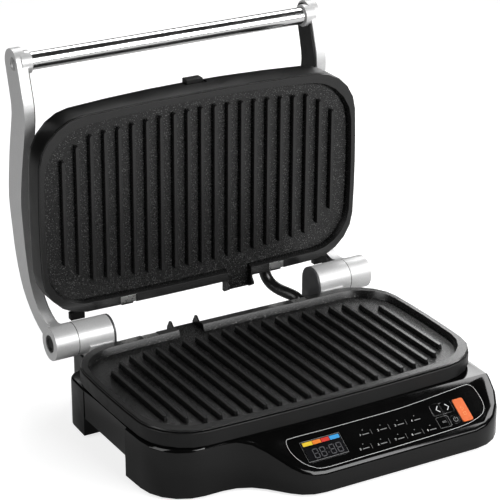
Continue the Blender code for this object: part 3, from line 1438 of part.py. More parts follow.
def handle_screw(name):
    seat = ARM_OUTER - SCREW_RECESS + GAP
    tip = seat - SCREW_LENGTH
    profile = (
        (0, tip),
        (SCREW_SHANK_RADIUS, tip),
        (SCREW_SHANK_RADIUS, seat),
        (SCREW_HEAD_RADIUS, seat),
        (SCREW_HEAD_RADIUS, seat + SCREW_HEAD_HEIGHT / 2),
        (SCREW_HEAD_RADIUS / 2, seat + SCREW_HEAD_HEIGHT),
        (0, seat + SCREW_HEAD_HEIGHT),
    )
    return turned(name, profile, along_x(TUBE_Y, ARM_RISE), "polished_steel", SMALL_ROUND_STEPS)


def closed_pivot():
    return -PIVOT_FORWARD, PIVOT_RISE


def open_pivot():
    """The closed pivot swung up round the hinge by the lid's full turn."""
    y, z = closed_pivot()
    return y * cos(LID_TURN) + z * sin(LID_TURN), z * cos(LID_TURN) - y * sin(LID_TURN)


def pivot_pin(name):
    """Pin with a head inside the lug, through bush and strip into the arm."""
    head_start = PIN_INNER - PIN_HEAD_THICKNESS
    profile = (
        (0, head_start),
        (PIN_HEAD, head_start),
        (PIN_HEAD, PIN_INNER),
        (PIN_RADIUS, PIN_INNER),
        (PIN_RADIUS, PIN_OUTER),
        (0, PIN_OUTER),
    )
    return turned(name, profile, along_x(*open_pivot()), "plain_steel", PIN_STEPS)


def pivot_bush(name):
    bore = PIN_RADIUS + GAP
    length = LUG_OUTER - LUG_INNER
    place = along_x(*closed_pivot())
    return pipe(name, bore + BUSH_WALL, bore, LUG_INNER, length, place, "dark_grey", PIN_STEPS)


def crown(share):
    """Level of a share of the head's height, lower towards its sides."""
    def level(x):
        height = HEAD_HEIGHT - HEAD_CROWN * (x / PLATE_HALF_WIDTH) ** 2
        return UPPER_RIM + share * height
    return level


def head_housing():
    """Crowned bowl of the head, with pivot lugs and hinge-side stops."""
    ledge = UPPER_RIM + FLANGE_THICKNESS + GAP
    shelf = UPPER_RIM + HEAD_LEDGE
    outer = [(plate_outline(RING_EDGE), ledge), (plate_outline(), ledge + RING_EDGE)]
    outer += [(plate_outline(inset * DOME_INSET), crown(share)) for inset, share in DOME_SHARES]
    outer.append((plate_outline(DOME_MIDDLE_INSET), crown(1.0)))
    inner = [(well_outline(), ledge), (well_outline(), shelf), (cavity_outline(DECK_INSET), shelf)]
    for inset, share in DOME_INNER_SHARES:
        inner.append((cavity_outline(DECK_INSET + inset * (DOME_INSET - DECK_INSET)), crown(share)))
    inner.append((cavity_outline(DOME_MIDDLE_INSET), crown(DOME_INNER_SHARES[-1][1])))
    mesh = bmesh.new()
    outer_rings = [add_ring(mesh, outline, level) for outline, level in outer]
    inner_rings = [add_ring(mesh, outline, level) for outline, level in inner]
    for rings in (outer_rings, inner_rings):
        for lower, upper in zip(rings, rings[1:]):
            skin(mesh, lower, upper)
        ladder(mesh, rings[-1])
    skin(mesh, outer_rings[0], inner_rings[0])
    housing = add_object("head_housing", mesh, "gloss_black")
    for sign in (-1, 1):
        join(housing, pivot_lug(sign))
        join(housing, stop_block("stop", sign * LUG_STOP_CENTRE, LUG_STOP_WIDTH, LUG_STOP_REACH))
        join(housing, stop_block("catch", sign * KEEPER_CENTRE, CATCH_WIDTH, CATCH_REACH))
        cut(housing, pin_bore(sign))
    cut(housing, moved(spout_space(), upper_place()))
    face = front_edge()
    cut(housing, latch_box("latch_frame", face + LATCH_RECESS, face - OVERRUN, LATCH_FRAME))
    cut(housing, latch_box("latch_slot", latch_wall() + OVERRUN, face - OVERRUN, GAP))
    gland = along_y(CONDUIT_HEAD_X, UPPER_RIM + CONDUIT_HEAD_DEPTH)
    start = CAVITY_REAR - DECK_INSET - OVERRUN
    length = rear_edge(OVERRUN) - start
    cut(housing, rod("gland_hole", GLAND_NECK + GAP, start, length, gland, steps=SMALL_ROUND_STEPS))
    return smooth(housing)


def pin_bore(sign):
    """Hole for the bush through one lug."""
    radius = PIN_RADIUS + 2 * GAP + BUSH_WALL
    start, end = sorted((sign * (LUG_INNER - OVERRUN), sign * (LUG_OUTER + OVERRUN)))
    return rod("bush_bore", radius, start, end - start, along_x(*closed_pivot()), steps=PIN_STEPS)


def latch_wall():
    """Inner face of the head's front wall behind the latch."""
    return CAVITY_FRONT - CAVITY_BOWS[2] + DECK_INSET


def pivot_lug(sign):
    """Ear that stands on the head's back and carries the pivot bush."""
    y, z = closed_pivot()
    arc = []
    for step in range(2 * CORNER_STEPS + 1):
        angle = pi * step / (2 * CORNER_STEPS)
        arc.append((y + LUG_TOP_RADIUS * cos(angle), z + LUG_TOP_RADIUS * sin(angle)))
    half = LUG_FOOT_WIDTH / 2
    profile = [(y + half, LUG_FOOT)] + arc + [(y - half, LUG_FOOT)]
    left, right = sorted((sign * LUG_INNER, sign * LUG_OUTER))
    return side_prism("pivot_lug", profile, left, right)


def stop_block(name, x, width, reach):
    """Small block on the hinge side of the head's wall."""
    low = UPPER_RIM + FLANGE_THICKNESS + GAP
    high = (x + width / 2, rear_edge(reach), low + LUG_STOP_HEIGHT)
    return box(name, (x - width / 2, rear_edge(-PAN_WALL), low), high)


def latch_box(name, inner, outer, margin, finish="plain_steel"):
    half = LATCH_WIDTH / 2 + margin
    low = (LATCH_X - half, outer, UPPER_RIM + LATCH_LOW - margin)
    return box(name, low, (LATCH_X + half, inner, UPPER_RIM + LATCH_HIGH + margin), finish)


def upper_latch():
    """Push piece at the front of the head that frees the upper plate."""
    face = latch_wall() + GAP
    inner = face + 2 * LATCH_FLANGE
    latch = latch_box("upper_plate_latch", inner, front_edge(LATCH_PROUD), 0.0, "satin_black")
    return join(latch, latch_box("flange", face + LATCH_FLANGE, face, LATCH_FLANGE))


def head_gland():
    """Bush where the conduit enters the hinge side of the head."""
    face = rear_edge()
    profile = (
        (0, face - GLAND_HEIGHT),
        (GLAND_NECK, face - GLAND_HEIGHT),
        (GLAND_NECK, face + GAP),
        (GLAND_RADIUS, face + GAP),
        (GLAND_RADIUS, face + HEAD_GLAND_LENGTH / 2),
        (GLAND_NECK, face + HEAD_GLAND_LENGTH),
        (0, face + HEAD_GLAND_LENGTH),
    )
    place = along_y(CONDUIT_HEAD_X, UPPER_RIM + CONDUIT_HEAD_DEPTH)
    return turned("head_conduit_gland", profile, place, "satin_black", SMALL_ROUND_STEPS)


def base_gland():
    """Bush where the conduit enters the middle deck of the base."""
    profile = (
        (0, MIDDLE_DECK - GLAND_HEIGHT),
        (GLAND_NECK, MIDDLE_DECK - GLAND_HEIGHT),
        (GLAND_NECK, MIDDLE_DECK + GAP),
        (GLAND_RADIUS, MIDDLE_DECK + GAP),
        (GLAND_RADIUS, MIDDLE_DECK + GLAND_RISE / 2),
        (GLAND_NECK, MIDDLE_DECK + GLAND_RISE),
        (0, MIDDLE_DECK + GLAND_RISE),
    )
    place = upright(CONDUIT_BASE_X, CONDUIT_BASE_Y)
    return turned("base_conduit_gland", profile, place, "satin_black", SMALL_ROUND_STEPS)


def inlet_gland():
    """Bush for the mains cord in the rear wall of the block."""
    face = BLOCK_REAR + GAP
    profile = (
        (INLET_BORE, BLOCK_REAR - INLET_LENGTH),
        (INLET_RADIUS, BLOCK_REAR - INLET_LENGTH),
        (INLET_RADIUS, face),
        (INLET_FLANGE, face),
        (INLET_FLANGE, face + INLET_FLANGE_THICKNESS),
        (INLET_BORE, face + INLET_FLANGE_THICKNESS),
    )
    return turned("cord_inlet_gland", profile, along_y(INLET_X, INLET_LEVEL), "rubber", SMALL_ROUND_STEPS)


def to_open(point):
    """A closed-position point of the head, after the head is turned up."""
    pivot_y, pivot_z = closed_pivot()
    open_y, open_z = open_pivot()
    y, z = point[1] - pivot_y, point[2] - pivot_z
    turn = HEAD_TURN
    return Vector((point[0], open_y + y * cos(turn) + z * sin(turn), open_z + z * cos(turn) - y * sin(turn)))


def conduit():
    """Flexible pipe for the head's wires, from the base deck to the head."""
    lead = Vector((0, 0, CONDUIT_LEAD))
    start = Vector((CONDUIT_BASE_X, CONDUIT_BASE_Y, MIDDLE_DECK + GLAND_RISE + GAP))
    head_face = rear_edge(HEAD_GLAND_LENGTH + GAP)
    depth = UPPER_RIM + CONDUIT_HEAD_DEPTH
    end = to_open((CONDUIT_HEAD_X, head_face, depth))
    near_end = to_open((CONDUIT_HEAD_X, head_face + CONDUIT_LEAD, depth))
    low = to_open((CONDUIT_HEAD_X, head_face + CONDUIT_SAG, depth))
    guides = (start + lead, start + lead + Vector((0, 0, CONDUIT_RISE)), low, near_end)
    path = [start]
    steps = 2 * BEND_STEPS
    for step in range(steps + 1):
        t = step / steps
        weights = ((1 - t) ** 3, 3 * t * (1 - t) ** 2, 3 * t * t * (1 - t), t ** 3)
        path.append(sum((w * p for w, p in zip(weights, guides)), Vector((0, 0, 0))))
    path.append(end)
    return bent_tube("conduit", path, CONDUIT_RADIUS, "gloss_black", 2)


def foot(name, x, y):
    high = BODY_BOTTOM - GAP
    low = -HINGE_HEIGHT
    profile = ((0, low), (FOOT_RADIUS - FOOT_TAPER, low), (FOOT_RADIUS, high), (0, high))
    return turned(name, profile, upright(x, y), "rubber", SMALL_ROUND_STEPS)


def both_sides(maker, stem):
    """A right-hand piece and its mirrored left-hand twin."""
    right = maker(stem + "_right")
    left = mirrored(right, stem + "_left")
    return [right, left]


def base_pieces():
    pieces = [base_shell(), bottom_cover(), plate_ring(), control_fascia(), display_window()]
    pieces += [control_board(), power_board(), base_gland(), inlet_gland(), conduit()]
    pieces += both_sides(hinge_post, "hinge_post")
    pieces += both_sides(end_cap, "hinge_end_cap")
    pieces += both_sides(axle, "hinge_axle")
    for maker, name in (
        (plate, "lower_plate"),
        (heating_element, "lower_heating_element"),
        (reflector, "lower_reflector"),
        (sensor, "lower_thermostat"),
    ):
        pieces.append(moved(maker(name), lower_place()))
    for side in both_sides(keeper, "lower_plate_keeper"):
        pieces.append(moved(side, lower_place()))
    pieces.append(foot("foot_rear_left", -REAR_FOOT_X, REAR_FOOT_Y))
    pieces.append(foot("foot_rear_right", REAR_FOOT_X, REAR_FOOT_Y))
    pieces.append(foot("foot_front_left", FRONT_FOOT_LEFT, FRONT_FOOT_Y))
    pieces.append(foot("foot_front_right", FRONT_FOOT_RIGHT, FRONT_FOOT_Y))
    return pieces


def frame_pieces():
    pieces = [handle_tube()]
    for maker, stem in (
        (arm, "arm"),
        (arm_cover, "arm_inner_cover"),
        (knuckle_cap, "knuckle_cap"),
        (tube_plug, "handle_plug"),
        (handle_screw, "handle_screw"),
        (pivot_pin, "pivot_pin"),
    ):
        pieces += both_sides(maker, stem)
    return pieces


def head_pieces():
    pieces = [head_housing(), head_gland()]
    pieces += both_sides(pivot_bush, "pivot_bush")
    for maker, name in (
        (plate, "upper_plate"),
        (heating_element, "upper_heating_element"),
        (reflector, "upper_reflector"),
        (sensor, "upper_thermostat"),
    ):
        pieces.append(moved(maker(name), upper_place()))
    for side in both_sides(keeper, "upper_plate_keeper"):
        pieces.append(moved(side, upper_place()))
    return pieces


def empty(name, parent=None, location=(0.0, 0.0, 0.0), turn=0.0):
    made = bpy.data.objects.new(name, None)
    made.parent = parent
    made.location = location
    made.rotation_euler = (turn, 0.0, 0.0)
    bpy.context.scene.collection.objects.link(made)
    return made


def hang(pieces, parent, origin=(0.0, 0.0, 0.0)):
    """Parent pieces to an axis, keeping the place that their points give them."""
    for piece in pieces:
        piece.parent = parent
        piece.location = -Vector(origin)


def stand_on_origin(frame):
    """Shift the whole grill so that its box stands on the origin."""
    bpy.context.view_layer.update()
    corners = []
    for item in bpy.context.scene.objects:
        if item.type == "MESH":
            corners += [item.matrix_world @ vert.co for vert in item.data.vertices]
    xs, ys, zs = zip(*corners)
    frame.location = (-(min(xs) + max(xs)) / 2, -(min(ys) + max(ys)) / 2, -min(zs))
    bpy.context.view_layer.update()


def build():
    clear_scene()
    frame = empty("grill_frame")
    hinge_axis = empty("lid_hinge_axis", frame)
    pivot = Vector((0, *closed_pivot()))
    head_axis = empty("head_pivot_axis", hinge_axis, (0, *open_pivot()), -HEAD_TURN)
    hang(base_pieces(), frame)
    hang(frame_pieces(), hinge_axis)
    hang(head_pieces(), head_axis, pivot)
    latch_axis = empty("upper_latch_axis", head_axis)
    hang([upper_latch()], latch_axis, pivot)
    hang([lower_latch()], empty("lower_latch_axis", frame))
    hang([drip_tray()], empty("drip_tray_axis", frame))
    for name, outline in key_shapes().items():
        hang([key(name, outline)], empty(name + "_axis", frame))
    stand_on_origin(frame)


if __name__ == "__main__":
    build()
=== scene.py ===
"""Looks of the electric contact grill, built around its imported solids.

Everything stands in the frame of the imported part, in metres: X to the right, Y to the
rear and Z up. The Grill tab of the sidebar has one button for each group of pieces and
one for the stage, and holds the sizes and colours that they use.
"""

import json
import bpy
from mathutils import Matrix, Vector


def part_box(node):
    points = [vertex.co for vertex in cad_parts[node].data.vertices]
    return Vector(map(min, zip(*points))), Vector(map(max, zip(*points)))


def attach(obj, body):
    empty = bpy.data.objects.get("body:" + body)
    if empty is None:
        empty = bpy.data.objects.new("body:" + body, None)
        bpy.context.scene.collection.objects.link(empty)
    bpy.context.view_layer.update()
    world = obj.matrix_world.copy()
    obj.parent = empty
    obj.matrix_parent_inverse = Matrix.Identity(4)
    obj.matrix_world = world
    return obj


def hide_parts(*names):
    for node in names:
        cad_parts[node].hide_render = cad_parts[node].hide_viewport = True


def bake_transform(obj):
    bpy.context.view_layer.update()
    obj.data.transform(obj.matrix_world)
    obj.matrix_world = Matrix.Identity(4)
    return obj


bl_info = {
    "name": "Electric Contact Grill",
    "version": (1, 0, 0),
    "blender": (4, 5, 0),
    "location": "3D Viewport > Sidebar > Grill",
    "description": "Finishes the pieces of an electric contact grill and sets up its stage",
    "category": "Object",
}

from math import cos, pi, radians, sin

import bpy
from mathutils import Matrix, Vector

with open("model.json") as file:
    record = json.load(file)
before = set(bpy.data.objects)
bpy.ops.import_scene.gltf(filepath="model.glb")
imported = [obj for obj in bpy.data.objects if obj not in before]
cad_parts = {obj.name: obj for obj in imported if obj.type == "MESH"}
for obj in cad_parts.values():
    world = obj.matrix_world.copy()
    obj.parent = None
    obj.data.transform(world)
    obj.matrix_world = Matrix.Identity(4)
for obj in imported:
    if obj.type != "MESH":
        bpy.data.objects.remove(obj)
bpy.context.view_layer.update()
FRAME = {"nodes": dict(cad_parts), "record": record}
NODES = FRAME["nodes"]
RECORD = FRAME["record"]

MM = 0.001
HINGE = Vector(next(j["pos_m"] for j in RECORD["behaviour"]["joints"] if j["name"] == "lid_hinge"))
BODY_OF = {node: body for body, nodes in RECORD["behaviour"]["bodies"].items() for node in nodes}

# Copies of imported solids
SAME_POINT = 0.005 * MM
SAME_PLANE = radians(0.6)
BEVEL_ANGLE = radians(30)
SMOOTH_ANGLE = radians(32)

# Control panel: the plane of its slope, in hinge coordinates
PANEL_TOP = -218.0 * MM
PANEL_TOP_LEVEL = -19.6 * MM
PANEL_SLOPE = radians(33.0)
KEY_PROUD = 0.5 * MM
PRINT_THICKNESS = 0.04 * MM
PRINT_LIFT = 0.04 * MM

# Camera, from the middle of the lid's hinge axis, with its lens and sensor in millimetres
CAMERA_OFFSET = Vector((-0.88999, -1.61764, 0.83643))
CAMERA_YAW = radians(29.935)
CAMERA_PITCH = radians(22.873)
CAMERA_ROLL = radians(-0.018)
CAMERA_LENS = 153.23
CAMERA_SENSOR = 36.0
CAMERA_REACH = 20.0

# Plates, in hinge coordinates: a point of the rim's plane, the way into the casting and the limits of the ribs
RIM_PLANES = {
    "lower_plate": (Vector((0, 0, -1.0 * MM)), Vector((0, 0, -1)), (-206 * MM, -36 * MM)),
    "upper_plate": (Vector((0, 14.19 * MM, 144.74 * MM)), Vector((0, 0.99993, 0.0117)), (29 * MM, 200 * MM)),
}
RIB_REACH = 152 * MM
RIM_DEPTH = 0.95 * MM
RIB_TOP_DEPTHS = (1.2 * MM, 2.6 * MM)

# Coating of the plates: how close its flecks, gloss and relief lie, and what share of each is worn off when polished
FLECKS_PER_METRE = 620.0
FLECK_SIZE = 0.28
FLECK_COLOUR = (0.34, 0.34, 0.34)
WORN_FLECKS = 0.7
COATING_ROUGHNESS = 0.36
ROUGHNESS_SCALE = 1400.0
GRAIN_ROUGHNESS = (0.24, 0.32)
WORN_ROUGHNESS = 0.2
RELIEF_SCALE = 1500.0
RELIEF_DEPTH = 0.07 * MM
WORN_RELIEF = 0.8
# Painted highlight: the rim and rib tops are painted this many times lighter than the coating
PAINTED_HIGHLIGHT_TONE = 2.2

# Painted shade on the steep flanks of the plates: how much faster than their steepness it grows, and the Metallic
# where it is full
PAINTED_SHADE_GROWTH = 2.2
PAINTED_SHADE_METALLIC = 0.85

# Seams of the hinge barrels
SEAM_NEAR = 146.6 * MM
SEAM_FAR = 147.3 * MM
SEAM_RADII = (15.5 * MM, 15.85 * MM)
SEAM_SIDES = 64

# Sleeve of the head's wires: steps along its curve, sides of each ring and the share of rings in its lower length
SLEEVE_STEPS = 28
SLEEVE_SIDES = 28
LOWER_SHARE = 0.6

# Stage: reach and tones of the floor, the white that only the camera sees on it, and the tone of the room
FLOOR_REACH = 6.0
FLOOR_TONES = ((0.49, 0.49, 0.49), (0.51, 0.51, 0.51))
FLOOR_WHITE = 0.75
ROOM_TONE = 0.02

# Soft lights: the place they all face, then the name, place, width, height and watts of each
LIGHT_TARGET = (0, 0, 0.12)
SOFTBOXES = (
    ("top_softbox", (0.55, 0.85, 1.3), 1.0, 0.7, 9),
    ("left_softbox", (-1.5, -0.1, 0.9), 1.0, 1.2, 11),
    ("rear_softbox", (0.95, 0.80, 0.42), 0.4, 0.5, 3),
    ("right_softbox", (1.10, -0.29, 0.87), 0.7, 0.5, 8),
    ("front_softbox", (0.5, -1.6, 1.1), 1.2, 0.9, 24),
    ("lip_softbox", (0.45, -1.0, 0.36), 1.1, 0.12, 2.5),
)


def colour_setting(name, description, value):
    return bpy.props.FloatVectorProperty(
        name=name, description=description, subtype="COLOR", size=3, min=0, max=1, default=value
    )


def length_setting(name, description, value):
    return bpy.props.FloatProperty(name=name, description=description, unit="LENGTH", min=0, default=value)


class GrillColours(bpy.types.PropertyGroup):
    gloss_black: colour_setting("Gloss black", "Polished plastic of the body and its keys", (0.002, 0.002, 0.002))
    satin_black: colour_setting("Satin black", "Textured plastic and the head's housing", (0.006, 0.006, 0.006))
    dark_grey: colour_setting("Dark grey", "Plastic of the hinge caps and pivot bushes", (0.045, 0.045, 0.048))
    coating: colour_setting("Coating", "Speckled non-stick coating of the plates", (0.006, 0.006, 0.006))
    silver: colour_setting("Silver", "Satin paint of the arms and hinge posts", (0.67, 0.67, 0.67))
    steel: colour_setting("Steel", "Polished handle tube and screws", (0.80, 0.80, 0.80))
    orange: colour_setting("Orange", "Start key", (0.72, 0.13, 0.015))
    print_white: colour_setting("Print", "White print on the control panel", (0.80, 0.80, 0.80))


class GrillSizes(bpy.types.PropertyGroup):
    body_edge: length_setting("Body edge", "Rounding of the edges of the body", 1.4 * MM)
    head_edge: length_setting("Head edge", "Rounding of the edges of the head", 1.2 * MM)
    plate_edge: length_setting("Plate edge", "Rounding of the edges of the plates and ribs", 0.7 * MM)
    metal_edge: length_setting("Metal edge", "Rounding of the edges of the arms", 0.8 * MM)
    small_edge: length_setting("Small edge", "Rounding of the edges of all other pieces", 0.3 * MM)
    outline: length_setting("Outline", "Width of the outline of the control panel", 0.28 * MM)
    stroke: length_setting("Stroke", "Width of the thin frames around display and keys", 0.3 * MM)


def colours():
    return bpy.context.scene.grill_colours


def sizes():
    return bpy.context.scene.grill_sizes


# Effects that several materials share


def effect_group(name, inputs, output, output_kind):
    """Empty node group with number inputs and one output, and its two end nodes."""
    group = bpy.data.node_groups.new(name, "ShaderNodeTree")
    for label, value in inputs:
        socket = group.interface.new_socket(label, in_out="INPUT", socket_type="NodeSocketFloat")
        socket.default_value = value
    group.interface.new_socket(output, in_out="OUTPUT", socket_type=output_kind)
    start = group.nodes.new("NodeGroupInput")
    end = group.nodes.new("NodeGroupOutput")
    return group, start, end


def object_places(group):
    return group.nodes.new("ShaderNodeTexCoord").outputs["Object"]


# Between which values most of a noise texture lies
NOISE_LOW = 0.32
NOISE_HIGH = 0.68


def uneven_group():
    """A value that drifts between Low and High over the surface."""
    group = bpy.data.node_groups.get("Uneven")
    if group:
        return group
    inputs = (("Scale", 40.0), ("Detail", 3.0), ("Low", 0.0), ("High", 1.0))
    group, start, end = effect_group("Uneven", inputs, "Value", "NodeSocketFloat")
    noise = group.nodes.new("ShaderNodeTexNoise")
    spread = group.nodes.new("ShaderNodeMapRange")
    spread.inputs["From Min"].default_value = NOISE_LOW
    spread.inputs["From Max"].default_value = NOISE_HIGH
    group.links.new(object_places(group), noise.inputs["Vector"])
    group.links.new(start.outputs["Scale"], noise.inputs["Scale"])
    group.links.new(start.outputs["Detail"], noise.inputs["Detail"])
    group.links.new(noise.outputs["Fac"], spread.inputs["Value"])
    group.links.new(start.outputs["Low"], spread.inputs["To Min"])
    group.links.new(start.outputs["High"], spread.inputs["To Max"])
    group.links.new(spread.outputs["Result"], end.inputs["Value"])
    return group


def speckles_group():
    """A mask of small round flecks that lie about Scale to the metre."""
    group = bpy.data.node_groups.get("Speckles")
    if group:
        return group
    inputs = (("Scale", 500.0), ("Size", 0.25))
    group, start, end = effect_group("Speckles", inputs, "Mask", "NodeSocketFloat")
    cells = group.nodes.new("ShaderNodeTexVoronoi")
    fade = group.nodes.new("ShaderNodeMapRange")
    fade.inputs["From Max"].default_value = 0.0
    fade.inputs["To Max"].default_value = 1.0
    group.links.new(object_places(group), cells.inputs["Vector"])
    group.links.new(start.outputs["Scale"], cells.inputs["Scale"])
    group.links.new(cells.outputs["Distance"], fade.inputs["Value"])
    group.links.new(start.outputs["Size"], fade.inputs["From Min"])
    group.links.new(fade.outputs["Result"], end.inputs["Mask"])
    return group


def drawn_group():
    """Height of fine lines along X, as drawn or brushed metal has them."""
    group = bpy.data.node_groups.get("Drawn lines")
    if group:
        return group
    inputs = (("Scale", 900.0), ("Stretch", 0.02))
    group, start, end = effect_group("Drawn lines", inputs, "Height", "NodeSocketFloat")
    stretch = group.nodes.new("ShaderNodeVectorMath")
    stretch.operation = "MULTIPLY"
    along = group.nodes.new("ShaderNodeCombineXYZ")
    along.inputs["Y"].default_value = 1.0
    along.inputs["Z"].default_value = 1.0
    noise = group.nodes.new("ShaderNodeTexNoise")
    group.links.new(start.outputs["Stretch"], along.inputs["X"])
    group.links.new(object_places(group), stretch.inputs[0])
    group.links.new(along.outputs["Vector"], stretch.inputs[1])
    group.links.new(stretch.outputs["Vector"], noise.inputs["Vector"])
    group.links.new(start.outputs["Scale"], noise.inputs["Scale"])
    group.links.new(noise.outputs["Fac"], end.inputs["Height"])
    return group


# Materials


def new_material(name, colour, roughness, metallic=0.0):
    material = bpy.data.materials.new(name)
    material.use_nodes = True
    shader = shader_of(material)
    shader.inputs["Base Color"].default_value = (*colour, 1.0)
    shader.inputs["Roughness"].default_value = roughness
    shader.inputs["Metallic"].default_value = metallic
    return material


def shader_of(material):
    return material.node_tree.nodes["Principled BSDF"]


def add_effect(material, group, **values):
    node = material.node_tree.nodes.new("ShaderNodeGroup")
    node.node_tree = group
    for label, value in values.items():
        node.inputs[label].default_value = value
    return node.outputs[0]


def vary_colour(material, mask, dark, light):
    """Base colour between two colours by a mask."""
    mix = material.node_tree.nodes.new("ShaderNodeMix")
    mix.data_type = "RGBA"
    mix.inputs["A"].default_value = (*dark, 1.0)
    mix.inputs["B"].default_value = (*light, 1.0)
    links = material.node_tree.links
    links.new(mask, mix.inputs["Factor"])
    links.new(mix.outputs["Result"], shader_of(material).inputs["Base Color"])
    return mix


def vary_roughness(material, scale, low, high):
    value = add_effect(material, uneven_group(), Scale=scale, Low=low, High=high)
    material.node_tree.links.new(value, shader_of(material).inputs["Roughness"])


def raise_relief(material, height, depth):
    """Bump from a height that stands for the given depth."""
    bump = material.node_tree.nodes.new("ShaderNodeBump")
    bump.inputs["Strength"].default_value = 1.0
    bump.inputs["Distance"].default_value = depth
    links = material.node_tree.links
    links.new(height, bump.inputs["Height"])
    links.new(bump.outputs["Normal"], shader_of(material).inputs["Normal"])


def scaled(colour, share):
    return tuple(share * c for c in colour)


def mottled(
    name, colour, roughness, patches, gloss, shares=None, tones=None, metallic=0.0, specular=0.5, detail=3.0,
    grain=None, lines=None, depth=0.0,
):
    """Material whose tone and gloss drift over the surface, with a fine relief of grain or drawn lines."""
    if isinstance(colour, str):
        colour = tuple(getattr(colours(), colour))
    material = new_material(name, colour, roughness, metallic)
    dark, light = tones or [scaled(colour, share) for share in shares]
    vary_colour(material, add_effect(material, uneven_group(), Scale=patches, Detail=detail), dark, light)
    vary_roughness(material, *gloss)
    if grain:
        raise_relief(material, add_effect(material, uneven_group(), Scale=grain[0], Detail=grain[1]), depth)
    if lines:
        raise_relief(material, add_effect(material, drawn_group(), Scale=lines[0], Stretch=lines[1]), depth)
    shader_of(material).inputs["Specular IOR Level"].default_value = specular
    return material


# Settings of mottled. A colour in words is one of the colour settings. shares are its darkest and lightest tone as
# parts of it, and tones are two such colours in full. patches, and the first number of gloss, grain and lines, say
# how close each lies. Then gloss has its lowest and highest roughness, grain its detail and lines their stretch.
RECIPES = {
    # Polished, with the faint waviness of a moulding
    "gloss_black_plastic": dict(
        colour="gloss_black", shares=(0.8, 1.3), patches=25.0, roughness=0.12, gloss=(60.0, 0.07, 0.13),
        specular=0.4, grain=(45.0, 1.0), depth=0.02 * MM,
    ),
    # Softer polish of the head
    "head_black_plastic": dict(
        colour="satin_black", shares=(0.8, 1.3), patches=25.0, roughness=0.3, gloss=(60.0, 0.28, 0.36),
        specular=0.22, grain=(1500.0, 1.0), depth=0.01 * MM,
    ),
    # Fine spark-eroded grain
    "satin_black_plastic": dict(
        colour="satin_black", shares=(0.8, 1.3), patches=30.0, roughness=0.42, gloss=(120.0, 0.36, 0.46),
        specular=0.3, grain=(1800.0, 2.0), depth=0.02 * MM,
    ),
    "dark_grey_plastic": dict(
        colour="dark_grey", shares=(0.85, 1.2), patches=80.0, roughness=0.4, gloss=(150.0, 0.34, 0.44),
        grain=(1500.0, 2.0), depth=0.02 * MM,
    ),
    # Satin paint with fine metal flakes
    "satin_silver_casting": dict(
        colour="silver", shares=(0.90, 1.10), patches=2200.0, detail=1.0, roughness=0.38, metallic=0.40,
        gloss=(70.0, 0.33, 0.43), specular=0.3, grain=(1400.0, 2.0), depth=0.015 * MM,
    ),
    # Faint drawing lines along the tube
    "polished_steel": dict(
        colour="steel", shares=(0.95, 1.05), patches=20.0, roughness=0.24, metallic=1.0, gloss=(90.0, 0.13, 0.19),
        lines=(900.0, 0.02), depth=0.006 * MM,
    ),
    "plain_steel": dict(
        colour=(0.52, 0.52, 0.51), tones=((0.45, 0.45, 0.44), (0.60, 0.60, 0.59)), patches=160.0, roughness=0.3,
        metallic=1.0, gloss=(300.0, 0.24, 0.38), lines=(700.0, 0.1), depth=0.01 * MM,
    ),
    # Heater sheath, tarnished in patches by its own heat
    "element_steel": dict(
        colour=(0.2, 0.19, 0.17), tones=((0.10, 0.09, 0.08), (0.30, 0.28, 0.24)), patches=50.0, roughness=0.45,
        metallic=0.9, gloss=(120.0, 0.35, 0.55), grain=(1200.0, 3.0), depth=0.02 * MM,
    ),
    "reflector_sheet": dict(
        colour=(0.70, 0.70, 0.70), tones=((0.60, 0.60, 0.60), (0.78, 0.78, 0.77)), patches=35.0, roughness=0.3,
        metallic=1.0, gloss=(80.0, 0.24, 0.36), lines=(500.0, 0.05), depth=0.01 * MM,
    ),
    "orange_key": dict(
        colour="orange", shares=(0.93, 1.04), patches=200.0, roughness=0.35, gloss=(300.0, 0.30, 0.42),
        grain=(2000.0, 3.0), depth=0.01 * MM,
    ),
    "smoked_lens": dict(
        colour=(0.006, 0.006, 0.007), tones=((0.004, 0.004, 0.005), (0.009, 0.009, 0.010)), patches=60.0,
        roughness=0.08, gloss=(100.0, 0.05, 0.10), grain=(40.0, 1.0), depth=0.01 * MM,
    ),
    "rubber": dict(
        colour=(0.018, 0.018, 0.018), tones=((0.014, 0.014, 0.014), (0.026, 0.026, 0.025)), patches=120.0,
        roughness=0.75, gloss=(250.0, 0.68, 0.85), grain=(1100.0, 4.0), depth=0.05 * MM,
    ),
    # Glossy sleeve over the head's wires
    "conduit_sleeve": dict(
        colour=(0.012, 0.012, 0.012), tones=((0.009, 0.009, 0.009), (0.016, 0.016, 0.016)), patches=60.0,
        roughness=0.24, gloss=(120.0, 0.20, 0.28), grain=(150.0, 3.0), depth=0.02 * MM,
    ),
    "printed_white": dict(
        colour="print_white", shares=(0.85, 1.0), patches=700.0, roughness=0.5, gloss=(500.0, 0.42, 0.55)
    ),
    # Thin print that throws back less light than the white
    "printed_grey": dict(
        colour=(0.22, 0.22, 0.22), tones=((0.18, 0.18, 0.18), (0.25, 0.25, 0.25)), patches=700.0, roughness=0.5,
        gloss=(500.0, 0.42, 0.55),
    ),
    # Unlit segment of the display
    "dim_digit": dict(
        colour=(0.05, 0.05, 0.055), tones=((0.04, 0.04, 0.045), (0.065, 0.065, 0.07)), patches=500.0, roughness=0.4,
        gloss=(400.0, 0.35, 0.45),
    ),
}
COLOURED_PRINT = dict(shares=(0.9, 1.0), patches=400.0, roughness=0.4, gloss=(400.0, 0.35, 0.45))
PRINT_COLOURS = {
    "pale_orange": (0.85, 0.42, 0.16),
    "yellow_tab": (0.80, 0.55, 0.02),
    "orange_tab": (0.80, 0.20, 0.01),
    "red_tab": (0.60, 0.02, 0.01),
    "blue_tab": (0.03, 0.32, 0.70),
}


